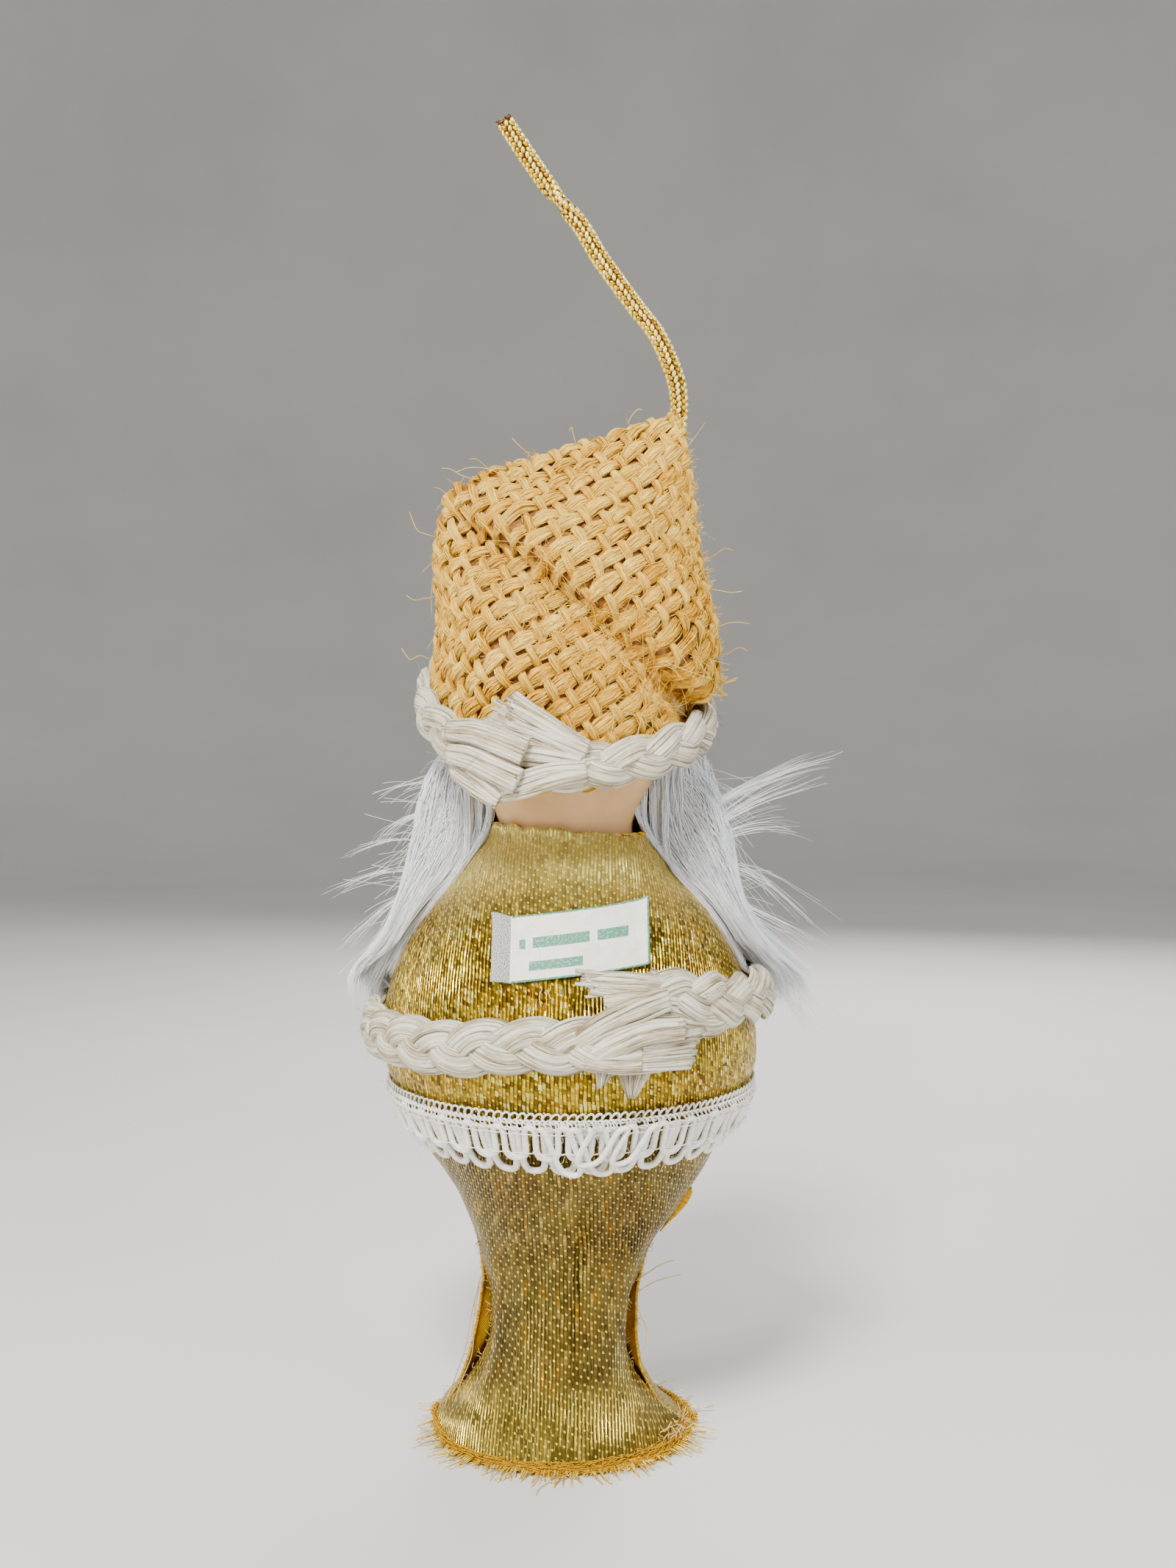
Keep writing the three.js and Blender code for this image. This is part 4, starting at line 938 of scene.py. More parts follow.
def make_band():
    b = Builder()
    # from the end that comes round the -X side, over the front, to the end that overlaps it at the back
    deg = np.linspace(4, -342, 300)
    over = smooth(-305, -338, deg)
    r = 28.0 + 2.0 * over
    z = band_z(deg) - 0.4 * over
    s, c = np.sin(rad(deg)), np.cos(rad(deg))
    C = np.stack([r * s, r * c, z], -1)
    N = np.stack([s, c, np.zeros_like(s)], -1)
    T = unit(np.gradient(C, axis=0))
    W = unit(np.cross(T, N))
    W = W * np.sign(W[:, 2:3])
    braid(b, C, W, N, 2.35, 0.74, 28.0, 6)
    whiskers(b, C, W, N, T, 19, 46)
    # the end underneath: one bundle flares up and towards +X, the others run on below it
    bundle(b, [(-4.0, 134.4, 29.5), (1.5, 137.0, 30.1), (6.2, 139.4, 30.2), (10.2, 141.4, 29.6)], [1.7, 2.3, 2.9, 3.5], [0.8, 0.9, 0.7, 0.4], 51, nr=32, cut=0.9)
    ribbons(b, (3.6, 141.0), (6.0, 136.4), (8.2, 144.6), (14.6, 139.4), 30.6, 29.2, 52, 34, 0.28, fray=1.0, wav=0.2)
    bundle(b, [(-3.0, 132.8, 29.4), (4.0, 134.0, 29.8), (10.0, 134.6, 29.8), (16.5, 135.6, 29.2)], [2.0, 2.4, 2.6, 2.2], [0.8, 0.85, 0.85, 0.7], 58, cut=0.5)
    bundle(b, [(-4.0, 130.6, 29.7), (2.0, 129.8, 30.3), (8.0, 128.0, 30.4), (14.8, 126.4, 29.9)], [1.8, 2.3, 2.3, 1.8], [0.8, 0.9, 0.85, 0.6], 53, cut=0.8)
    # the end on top: bundles that stop in one blunt cut
    bundle(b, [(21.5, 138.2, 30.4), (16.5, 137.8, 31.3), (11.8, 136.2, 31.8), (7.0, 134.2, 32.0)], [1.8, 2.2, 2.3, 2.4], [0.8, 0.95, 0.9, 0.7], 54, cut=0.3)
    bundle(b, [(21.5, 133.8, 30.4), (17.0, 132.8, 31.4), (12.4, 130.8, 31.9), (8.2, 128.8, 32.1)], [1.8, 2.3, 2.3, 2.3], [0.8, 0.95, 0.9, 0.75], 55, cut=0.3)
    bundle(b, [(20.5, 131.0, 30.0), (17.0, 128.8, 30.7), (14.0, 126.8, 30.8), (11.8, 125.3, 30.6)], [1.6, 1.9, 1.8, 1.5], [0.7, 0.85, 0.8, 0.6], 56, nr=20, cut=0.5)
    g = np.random.default_rng(57)
    for _ in range(60):
        k = g.uniform() ** 0.8
        x, z0 = 6.9 + 2.2 * k + g.normal(0, 0.25), 136.0 - 9.8 * k + g.normal(0, 0.2)
        R = 32.1 + g.uniform(-0.9, 0.25)
        q = np.array([x, math.sqrt(R * R - x * x), z0])
        d = g.normal(0, 0.11, 3)
        sweep(b, np.array([q - d, q, q + d]), (0, 1, 0), g.uniform(0.07, 0.22), g.uniform(0.06, 0.14), 6, mat=1 if g.uniform() < 0.45 else 0, rnd=g.uniform())
    th = resample([(27.4, 14.5, 130.0), (24.6, 19.0, 132.4), (20.5, 24.0, 131.6), (16.2, 28.0, 128.2)], 0.5)
    sweep(b, th, (0, 1, 0), 0.08, 0.07, 5, rnd=0.8)
    th = resample([(20.5, 24.0, 130.6), (17.8, 27.4, 131.6), (15.6, 29.0, 133.8)], 0.5)
    sweep(b, th, (0, 1, 0), 0.06, 0.05, 5, rnd=0.9)
    return b.make("hat_band_raffia", [raffia, glue], replaces=["hat_band_braid"])


make_band()


# ------------------------------------------------------------------ gimp trim
def make_gimp():
    b = Builder()
    reps = GIMP_REPEATS
    zc = np.linspace(GIMP_LOW, GIMP_TOP, 60)
    rr = (RL(zc) + RR(zc)) / 2
    ss = np.concatenate([[0], np.cumsum(np.hypot(np.diff(zc), np.diff(rr)))])
    height = ss[-1]

    def place(x, v, off):
        """x in repeats round the body, v in mm up the slanted surface."""
        z = np.interp(v, ss, zc) + np.where(v > height, v - height, 0) + np.where(v < 0, v, 0)
        z = z + 1.4 * (1 - np.cos(np.asarray(x) / reps * TAU))
        return robe_surf(x / reps * 360.0, z, off)

    def loop(phase, low, top, leg, bulge, corner, off_low, off_top, x0, x1, seed, tilt=0.0, rw=0.55, shake=1.0):
        # one repeat of the looping cord: a narrow arch above, two upright legs, a wide U below
        k = np.array([[0.00, top], [leg * 0.60, top - 0.25], [leg * 0.97, top - 1.0], [leg, top - 2.2], [leg, low + corner + 1.2], [bulge, low + corner],
                      [bulge + 0.040, low + corner * 0.52], [bulge + 0.135, low + corner * 0.15], [0.50, low]])
        k = np.concatenate([k, np.stack([1 - k[-2:0:-1, 0], k[-2:0:-1, 1]], 1)])
        n = int(round(x1 - x0))
        pts = np.concatenate([k + [i, 0] for i in range(n)] + [np.array([[n, top]])])
        p3 = np.concatenate([pts * [6.4, 1.0], np.zeros((len(pts), 1))], 1)
        q = resample(p3, 0.40)
        x, v = q[:, 0] / 6.4, q[:, 1]
        x = x + 0.016 * shake * wave(x * 2.0, seed, lo=0.6, hi=3.0)
        v = v + 0.16 * shake * wave(x * 1.6, seed + 1, lo=0.5, hi=3.0) * smooth(top, low, v)
        f = smooth(low, top, v)
        o = off_low + (off_top - off_low) * f + 0.07 * wave(x * 3.0, seed + 2)
        P, N = place(x + x0 + phase + tilt * (v - low), v, o)
        sweep(b, P, N, rw * (1 + 0.04 * wave(x * 5, seed + 3)), rw * 0.92, 10, rnd=0.5, u0=0)

    # the lower row hangs in round scallops, the upper row lies over its legs; both go all round and end at the back
    loop(0.5, 0.62, 10.5, 0.105, 0.118, 2.6, 0.76, 1.20, -1.0, reps, 61, rw=0.64)
    loop(0.0, 4.5, 11.0, 0.155, 0.160, 1.6, 1.90, 1.42, -1.0, reps, 62, rw=0.60)
    # crossing ends, lifted and askew
    loop(0.22, 1.5, 11.2, 0.13, 0.15, 2.2, 2.5, 2.1, -2.0, 0.0, 63, tilt=0.05, rw=0.56, shake=3.0)
    loop(-0.30, 4.2, 11.6, 0.15, 0.17, 1.6, 3.1, 2.6, -1.9, 0.1, 64, tilt=-0.07, rw=0.54, shake=3.0)
    # thin threads that bind the legs
    x = np.linspace(-1.4, reps + 0.2, 38 * 30)
    for v0, off in ((9.9, 2.0), (6.0, 2.4)):
        P, N = place(x, v0 + 0.12 * wave(x * 2, int(v0)), off + 0.10 * np.sin(x * TAU * 2))
        sweep(b, P, N, 0.11, 0.10, 5, rnd=0.6)
    # chain and picots along the top
    x = np.linspace(-1.6, reps + 0.2, 38 * 52)
    th = x * TAU * 4
    for ph in (0.0, math.pi):
        P, N = place(x, 11.9 + 0.34 * np.sin(th * 0.75 + ph), 1.05 + 0.22 * np.cos(th * 0.75 + ph))
        sweep(b, P, N, 0.21, 0.20, 6, rnd=0.5)
    for ph in (0.0, math.pi):
        P, N = place(x, 10.9 + 0.22 * np.sin(th * 0.5 + ph), 1.75 + 0.18 * np.cos(th * 0.5 + ph))
        sweep(b, P, N, 0.17, 0.16, 6, rnd=0.5)
    P, N = place(x + 0.055 * np.sin(th), 12.8 + 0.58 * np.cos(th + 0.4) + 0.1 * wave(x, 66), 0.60 + 0.16 * np.sin(th))
    sweep(b, P, N, 0.21, 0.20, 6, rnd=0.6)
    # slanting binding stitches between the chain and the arches
    k = np.arange(-1.6, reps + 0.2, 0.17)
    g = np.random.default_rng(67)
    for q in k:
        v0, v1 = 10.3, 12.3
        P, N = place(np.array([q, q + 0.06, q + 0.13]) + g.normal(0, 0.02), np.array([v0, (v0 + v1) / 2, v1]), np.array([1.8, 1.75, 0.95]))
        sweep(b, P, N, 0.15, 0.13, 5, rnd=g.uniform())
    # fine fluff, most of it at the joint
    for i in range(170):
        q = g.uniform(-1, reps) if i < 90 else -0.7 + g.normal(0, 0.5)
        v0 = g.uniform(2, 12) if i < 90 else g.uniform(9, 12.5)
        P, N = place(np.array([q, q + 0.1 * g.normal(), q + 0.25 * g.normal()]), v0 + np.array([0, 0.5, 1.2]) * g.normal(), np.array([1.6, 2.6, 3.2]) * g.uniform(0.7, 1.1))
        sweep(b, P, N, 0.04, 0.035, 3, rnd=g.uniform())
    return b.make("skirt_gimp_cord", [satin], replaces=["skirt_gimp"])


make_gimp()


# ------------------------------------------------------------------ hat: burlap laid yarn by yarn
def hat_top_z(x):
    return 193.4 - (x / 22.6) * 7.6


def hat_table():
    s = np.concatenate([np.linspace(0, 0.9, 110)[:-1], np.linspace(0.9, 1, 50)])
    deg = np.linspace(-90, 270, 1441)
    D, S = np.meshgrid(deg, s, indexing="ij")
    sd, cd = np.sin(rad(D)), np.cos(rad(D))
    hx = np.where(sd >= 0, HXL(S), HXR(S))
    k = np.clip((S - 0.955) / 0.045, 0, 1)
    hd = HDP(S) * np.sqrt(np.clip(1 - k * k, 0, 1))
    # a flattened section near the top, rounder lower down
    x = sd * hx
    y = cd * hd
    z0 = band_z(D) - 3.6
    z = z0 + (hat_top_z(x) - z0) * S
    P = np.stack([x, y, z], -1)
    # spread each ring evenly by length, from the seam round to the seam
    nq = 721
    q = np.linspace(0, 1, nq)
    out = np.zeros((nq, len(s), 3))
    L, A0 = np.zeros(len(s)), np.zeros(len(s))
    i0 = np.argmin(np.abs(deg))
    for j in range(len(s)):
        c = np.concatenate([[0], np.cumsum(np.linalg.norm(np.diff(P[:, j], axis=0), axis=1))])
        L[j], A0[j] = c[-1], c[i0]
        for m in range(3):
            out[:, j, m] = np.interp(q * c[-1], c, P[:, j, m])
    H = np.concatenate([np.zeros((nq, 1)), np.cumsum(np.linalg.norm(np.diff(out, axis=1), axis=2), 1)], 1)
    for i in range(nq):
        H[i] -= np.interp(160.0, out[i, :, 2], H[i])
    N = unit(np.cross(np.gradient(out, axis=0), np.gradient(out, axis=1)))
    mid = out[nq // 3, 30]
    if (N[nq // 3, 30] @ (mid - np.array([0, 0, mid[2]]))) < 0:
        N = -N
    return q, s, out, N, L, A0, H


HQ, HS, HP, HN, HL, HA0, HH = hat_table()


def table(T, q, s):
    """Bilinear look-up of a (q, s) table."""
    i = np.clip(q * (len(HQ) - 1), 0, len(HQ) - 1.001)
    j = np.clip(np.interp(s, HS, np.arange(len(HS))), 0, len(HS) - 1.001)
    i0, j0 = i.astype(int), j.astype(int)
    fi, fj = i - i0, j - j0
    if T.ndim == 3:
        fi, fj = fi[..., None], fj[..., None]
    return (T[i0, j0] * (1 - fi) + T[i0 + 1, j0] * fi) * (1 - fj) + (T[i0, j0 + 1] * (1 - fi) + T[i0 + 1, j0 + 1] * fi) * fj


def hat_find(a, h):
    """(q, s) of a place in the cloth, a across from the middle of the back and h up from 160 mm."""
    s = np.clip((h + 28.0) / 66.0, 0.02, 0.98)
    q = s * 0
    for _ in range(14):
        q = (a + np.interp(s, HS, HA0)) / np.interp(s, HS, HL)
        qc = np.clip(q, 0, 1)
        f = table(HH, qc, s) - h
        g = (table(HH, qc, np.clip(s + 0.004, 0, 1)) - table(HH, qc, np.clip(s - 0.004, 0, 1))) / 0.008
        s = np.clip(s - 0.9 * f / np.maximum(g, 20), 0, 1)
    err = np.abs(table(HH, np.clip(q, 0, 1), s) - h)
    ok = (q > 0.0) & (q < 1.0) & (err < 0.4)
    return q, s, ok


C0, C1 = np.array([19.8, 181.4]), np.array([-23.4, 147.2])
CT = (C1 - C0) / np.linalg.norm(C1 - C0)
CN = np.array([CT[1], -CT[0]])
CLEN = np.linalg.norm(C1 - C0)


def hat_surf(q, s, off):
    P, N = table(HP, np.clip(q, 0, 1), s), unit(table(HN, np.clip(q, 0, 1), s))
    X, Z = P[..., 0], P[..., 2]
    # the fold across the back: the cloth above stands over the cloth below
    u = ((X - C0[0]) * CT[0] + (Z - C0[1]) * CT[1]) / CLEN
    d = (X - C0[0]) * CN[0] + (Z - C0[1]) * CN[1] - 1.5 * np.sin(np.clip(u, 0, 1) * math.pi)
    back = smooth(-0.05, 0.25, N[..., 1])
    fade = smooth(-0.20, 0.20, u) * smooth(1.26, 1.06, u) * back
    # a round fold: the cloth above swells over a shaded valley
    dn = (3.6 + 0.8 * smooth(0.3, 0.8, u)) * smooth(-2.3, 2.0, d) * np.exp(-np.maximum(d - 2.4, 0) / (13.0 - 5.0 * smooth(0.3, 0.8, u))) - (1.7 + 1.4 * smooth(0.3, 0.75, u)) * np.exp(-((d + 3.4) / 3.6) ** 2)
    P = P + N * (fade * dn)[..., None]
    # the crest leans down over the valley
    lean = fade * 2.0 * np.exp(-((d - 1.6) / 2.2) ** 2)
    P = P - np.stack([CN[0] * lean, 0 * lean, CN[1] * lean], -1)
    # slack folds
    w = 0.55 * np.sin(X * 0.17 + Z * 0.11 + 1.0) * smooth(1.0, 0.8, s) + 0.4 * np.sin(X * 0.31 - Z * 0.23 + 2.0) * smooth(1.0, 0.85, s)
    w = w + 0.9 * np.exp(-((X - 15) / 5.0) ** 2 - ((Z - 160) / 14.0) ** 2) * back
    P = P + N * (w + np.asarray(off, float))[..., None]
    return P, N


A27 = rad(28.5)
E1 = np.array([math.sin(A27), math.cos(A27)])
A24 = rad(34.0)
E2 = np.array([-math.cos(A24), math.sin(A24)])
DET = E1[0] * E2[1] - E1[1] * E2[0]


def runs(ok):
    i = np.flatnonzero(ok)
    if len(i) == 0:
        return []
    cut = np.flatnonzero(np.diff(i) > 1)
    return [r for r in np.split(i, cut + 1) if len(r) > 4]


def rib_profile(g, sides, n, s, ribs, depth, twist):
    """Bundled fibres round a yarn: a few grooves that wind slowly along it."""
    k = np.ones((n, sides))
    for _ in range(ribs):
        c0, w0 = g.uniform(0, sides), g.uniform(0.55, 1.2)
        c = c0 + s * twist * sides
        dd = np.abs((np.arange(sides)[None, :] - c[:, None] + sides / 2) % sides - sides / 2)
        k = k - depth * g.uniform(0.5, 1.2) * np.exp(-(dd / w0) ** 2)
    return k


def make_hat():
    wp, fp = 3.25, 3.6
    base = Builder()
    # thin sheet under the weave that closes its holes; its dark colour is painted shade seen through them
    qs = np.linspace(0.0, 1.0, 181)
    ss = np.concatenate([np.linspace(0.0, 0.94, 60)[:-1], np.linspace(0.94, 1.0, 14)])
    Q, S = np.meshgrid(qs, ss, indexing="ij")
    P, N = hat_surf(Q, S, -1.35)
    base.add(P.reshape(-1, 3), grid_faces(len(qs), len(ss)), np.stack([Q * 160, S * 60, Q * 0], -1).reshape(-1, 3))
    area = float(np.linalg.norm(np.cross(P[1:, :-1] - P[:-1, :-1], P[:-1, 1:] - P[:-1, :-1]), axis=-1).sum())
    wid = float(np.linalg.norm(np.diff(P, axis=0), axis=-1).sum(0).max())
    leng = float(np.linalg.norm(np.diff(P, axis=1), axis=-1).sum(1).max())
    under = base.make("hat_cloth", [hole_shade_cloth], replaces=["hat_shell"])

    fuzz_roots, fibres = [], []
    for fam in ("warp", "weft"):
        b = Builder()
        g = np.random.default_rng(71 if fam == "warp" else 72)
        pitch, step = (wp, 0.50) if fam == "warp" else (fp, 0.52)
        e, f = (E1, E2) if fam == "warp" else (E2, E1)
        for k in range(-60, 61):
            t = np.arange(-150, 150, step)
            jit = pitch * 0.07 * g.normal()
            drift = 0.09 * pitch * wave(t * 0.30, 1000 + k + (500 if fam == "weft" else 0), lo=0.1, hi=0.8)
            c = k * pitch + jit + drift
            a = t * e[0] + c * f[0]
            h = t * e[1] + c * f[1]
            far = (np.abs(a - 40) > 92) | (h > 52) | (h < -34)
            if far.all():
                continue
            q, s, ok = hat_find(a, h)
            ok &= ~far
            tone = g.uniform()
            for r in runs(ok):
                tr = t[r]
                if fam == "warp":
                    ph = math.pi * tr / fp + math.pi * k
                    cs = np.tanh(1.5 * np.cos(ph)) / 0.905
                    off = -0.86 + 0.66 * cs + 0.07 * wave(tr, 40 + k)
                    hw = 0.86 * (1 + 0.10 * np.cos(ph) + 0.12 * wave(tr * 0.8, 60 + k))
                    hn = 0.56 * (1 + 0.10 * wave(tr * 0.9, 80 + k))
                    sides, ribs, tw = 18, 6, 0.030
                else:
                    ph = math.pi * tr / wp + math.pi * k
                    cs = np.cos(ph)
                    off = -0.90 - 0.42 * cs + 0.07 * wave(tr, 140 + k)
                    hw = 1.50 * (1 - 0.12 * cs + 0.10 * wave(tr * 0.8, 160 + k))
                    hn = 0.66 * (1 - 0.10 * cs + 0.10 * wave(tr * 0.9, 180 + k))
                    sides, ribs, tw = 26, 10, 0.012
                P, N = hat_surf(q[r], s[r], off)
                prof = rib_profile(g, sides, len(r), tr - tr[0], ribs, 0.26 if fam == "warp" else 0.28, tw * g.choice([-1, 1]))
                sweep(b, P, N, hw, hn, sides, prof=prof[None], rnd=tone, power=0.95, u0=g.uniform(0, 50))
                T = unit(np.gradient(P, axis=0))
                side = np.cross(T, N)
                # fibres lying along the yarn, a few slipping off it
                cnt = max(2, int(len(r) * (1.3 if fam == "warp" else 2.1)))
                ln = g.integers(9, 16)
                if len(r) > ln + 2:
                    i0 = g.integers(0, len(r) - ln, cnt)
                    idx = i0[:, None] + np.linspace(0, ln - 1, 8).astype(int)[None, :]
                    x0 = np.clip(g.normal(0, 0.55, cnt), -1.0, 1.0)[:, None]
                    x1 = np.clip(x0 + g.normal(0, 0.30, cnt)[:, None], -1.12, 1.12)
                    xx = x0 + (x1 - x0) * np.linspace(0, 1, 8)[None, :]
                    hh = np.sqrt(np.clip(1 - xx * xx, 0.02, 1)) + 0.03 + (0.5 * g.uniform(0, 1, cnt)[:, None] ** 3) * np.sin(np.linspace(0, 1, 8) * math.pi)[None, :]
                    F = P[idx] + side[idx] * (xx * hw[idx])[..., None] + N[idx] * (hh * hn[idx])[..., None]
                    fibres.append((F, N[idx], fam))
                m = g.integers(0, len(r), max(1, len(r) // 7))
                fuzz_roots.append((P[m], N[m], T[m], hw[m]))
        b.make("hat_yarn_" + fam, [burlap])
    for fam in ("warp", "weft"):
        b = Builder()
        g = np.random.default_rng(75)
        F = np.concatenate([x[0] for x in fibres if x[2] == fam])
        M = np.concatenate([x[1] for x in fibres if x[2] == fam])
        keep = g.permutation(len(F))[:7000]
        F, M = F[keep], M[keep]
        cnt = len(F)
        sweep(b, F, M, (0.085 * g.uniform(0.6, 1.4, cnt))[:, None] * np.array([0.5, 1, 1.1, 1.1, 1.1, 1.1, 1, 0.5]), 0.05, 3, rnd=g.uniform(0, 1, cnt), cap=False)
        b.make("hat_fibres_" + fam, [burlap_fibre])

    # loose fibres standing off the cloth
    b = Builder()
    g = np.random.default_rng(73)
    R = [np.concatenate([x[i] for x in fuzz_roots]) for i in range(4)]
    m = g.permutation(len(R[0]))[:1900]
    p, n, t, w = R[0][m], R[1][m], R[2][m], R[3][m]
    cnt = len(m)
    side = unit(np.cross(t, n))
    L = g.gamma(2.2, 0.95, cnt)[:, None] + 0.8
    d0 = unit(t * g.choice([-1, 1], cnt)[:, None] + side * g.normal(0, 0.6, cnt)[:, None] + n * g.uniform(0.05, 0.6, cnt)[:, None])
    bendv = side * g.normal(0, 0.5, cnt)[:, None] + t * g.normal(0, 0.4, cnt)[:, None] - n * g.uniform(0.0, 0.55, cnt)[:, None]
    tt = np.linspace(0, 1, 7)
    S = p[:, None] + n[:, None] * 0.15 + side[:, None] * (w * g.uniform(-0.8, 0.8, cnt))[:, None, None] + d0[:, None] * (L * tt)[..., None] + bendv[:, None] * (L * 0.5 * tt ** 2)[..., None]
    sweep(b, S, n[:, None], (0.045 * g.uniform(0.6, 1.5, cnt))[:, None] * np.linspace(1.2, 0.6, 7), 0.04, 3, rnd=g.uniform(0, 1, cnt))
    # the cloth is rubbed and hairy along the lower half of the fold
    dR = (R[0][:, 0] - C0[0]) * CN[0] + (R[0][:, 2] - C0[1]) * CN[1]
    uR = ((R[0][:, 0] - C0[0]) * CT[0] + (R[0][:, 2] - C0[1]) * CT[1]) / CLEN
    near = np.flatnonzero((R[0][:, 1] > 3) & (uR > 0.3) & (uR < 1.05) & (dR > -13) & (dR < 6))
    m = g.choice(near, 900)
    p, n, t, w = R[0][m], R[1][m], R[2][m], R[3][m]
    cnt = len(m)
    side = unit(np.cross(t, n))
    L = (g.gamma(2.6, 1.1, cnt)[:, None] + 1.2)
    d0 = unit(t * g.choice([-1, 1], cnt)[:, None] + side * g.normal(0, 0.9, cnt)[:, None] + n * g.uniform(0.1, 0.7, cnt)[:, None])
    bendv = side * g.normal(0, 0.7, cnt)[:, None] + t * g.normal(0, 0.6, cnt)[:, None] - n * g.uniform(0.1, 0.8, cnt)[:, None]
    S = p[:, None] + n[:, None] * 0.5 + side[:, None] * (w * g.uniform(-0.9, 0.9, cnt))[:, None, None] + d0[:, None] * (L * tt)[..., None] + bendv[:, None] * (L * 0.5 * tt ** 2)[..., None]
    sweep(b, S, n[:, None], (0.05 * g.uniform(0.6, 1.5, cnt))[:, None] * np.linspace(1.2, 0.6, 7), 0.045, 3, rnd=g.uniform(0, 1, cnt), cap=False)
    # a few long strays
    for (x, z, y, dx, dz, ln) in ((11.5, 187, 8, 0.8, 0.35, 12), (14, 187.5, 7, 0.5, 0.6, 9), (6, 190, 7, 0.6, 0.8, 7), (-2, 193.5, 6, 0.25, 1, 5), (-12, 197.5, 5, -0.5, 1.0, 5.5), (18, 187, 5, 1, 0.25, 6),
                                  (-26.5, 171, 3, -0.9, 0.5, 7), (-27, 166, 2, -1, -0.2, 7.5), (-29, 158, 2, -1, 0.5, 7), (-29.6, 153, 2, -1, 0.1, 6), (25.5, 176, 2, 1, 0.3, 5), (26, 164, 4, 1, -0.2, 5), (26.5, 152, 4, 0.9, 0.4, 6),
                                  (2, 172, 17, 0.3, -0.5, 9), (-8, 180, 14, -0.6, -0.6, 11), (10, 160, 24, 0.5, 0.2, 9), (-14, 168, 18, -0.5, 0.4, 8)):
        q = np.array([(x, y, z), (x + dx * ln * 0.35, y + 0.8, z + dz * ln * 0.3), (x + dx * ln * 0.7, y + 1.4, z + dz * ln * 0.5 + g.normal(0, 0.8)), (x + dx * ln, y + 1.0, z + dz * ln * 0.6 + g.normal(0, 1.4))])
        sweep(b, resample(q, 0.7), (0, 1, 0), 0.055, 0.05, 4, rnd=g.uniform())
    fuzz = b.make("hat_loose_fibres", [burlap_fibre])

    # raw seam down the -X side: two turned-out layers with cut yarn ends and a dark slit between
    b = Builder()
    g = np.random.default_rng(74)
    ss = np.linspace(0.03, 0.985, 90)
    Pq, Nq = hat_surf(np.full(90, 0.004), ss, -0.7)
    z = Pq[:, 2]
    width = np.interp(z, [140, 144, 150, 160, 175, 190, 200], [4.6, 4.3, 3.6, 2.7, 1.9, 1.35, 0.9])
    outd = np.array([-1.0, 0.0, 0.0])
    tang = unit(np.gradient(Pq, axis=0))
    for lay, yo in ((0, 0.85), (1, -0.75)):
        sgn = 1 if lay == 0 else -1
        wid_l = width * (1.0 if lay == 0 else 0.82)
        base_p = Pq + np.array([0.9, yo, 0])
        # yarns that run down the seam
        for k, fr in enumerate((0.15, 0.62) if lay == 0 else (0.3,)):
            line = base_p + outd * (wid_l * fr)[:, None] + np.array([0, sgn * 0.28, 0])
            line = line + np.stack([0.15 * wave(z * 0.4, 90 + k), 0.15 * wave(z * 0.5, 95 + k), 0 * z], -1)
            st = np.concatenate([[0], np.cumsum(np.linalg.norm(np.diff(line, axis=0), axis=1))])
            sweep(b, line, (0, sgn, 0), np.minimum(0.62, wid_l * 0.35), 0.34, 12, prof=rib_profile(g, 12, 90, st, 5, 0.3, 0.03)[None], rnd=g.uniform(), u0=g.uniform(0, 30))
        # cut ends of the crossing yarns
        zz = z[0]
        while zz < z[-1] - 0.6:
            i = int(np.interp(zz, z, np.arange(90)))
            rising = g.uniform() < 0.62
            w0 = float(wid_l[i])
            hw = 0.95 if rising else 0.6
            ln = w0 + g.uniform(0.2, 0.9)
            d = unit(outd + np.array([0, sgn * g.uniform(-0.05, 0.25), 0.42 if rising else -0.75]))
            p0 = base_p[i] + np.array([0.5, g.normal(0, 0.08), 0])
            n = 7
            tt7 = np.linspace(0, 1, n)[:, None]
            path = p0 + d * ln * tt7 + np.array([0, sgn * 0.35, 0]) * np.sin(tt7 * math.pi) + np.array([0, 0, g.normal(0, 0.25)]) * tt7 ** 2
            taper = np.array([1, 1.05, 1.05, 1.0, 0.95, 0.85, 0.55])
            sweep(b, path, (0, sgn, 0), hw * taper * min(1.0, 0.5 + w0 / 5), 0.30 * taper, 12, prof=rib_profile(g, 12, n, np.arange(n) * 1.0, 5, 0.34, 0.01)[None], rnd=g.uniform(), u0=g.uniform(0, 30))
            for _ in range(5):
                fd = unit(d + g.normal(0, 0.45, 3))
                f0 = path[-2] + np.array([0, 0, g.uniform(-hw, hw) * 0.6])
                fl = g.uniform(0.6, 2.2)
                qf = np.array([f0, f0 + fd * fl * 0.5, f0 + fd * fl + g.normal(0, 0.25, 3)])
                sweep(b, resample(qf, 0.5), (0, 1, 0), 0.05, 0.045, 3, rnd=g.uniform(), mat=1)
            zz += g.uniform(1.3, 2.0)
    # frayed corner just above the band
    for _ in range(34):
        f0 = np.array([-30.2 + g.uniform(0, 2.5), g.uniform(-1, 2.5), 147.0 + g.uniform(-1.0, 2.5)])
        fd = unit(np.array([-1.0, g.normal(0, 0.3), -0.55 + g.normal(0, 0.45)]))
        fl = g.uniform(1.2, 3.6)
        qf = np.array([f0, f0 + fd * fl * 0.5, f0 + fd * fl + g.normal(0, 0.4, 3)])
        sweep(b, resample(qf, 0.5), (0, 1, 0), 0.09, 0.06, 4, rnd=g.uniform(), mat=1)
    seam = b.make("hat_seam_edge", [burlap, burlap_fibre])
    return wid, leng, area


HAT_FLAT = make_hat()

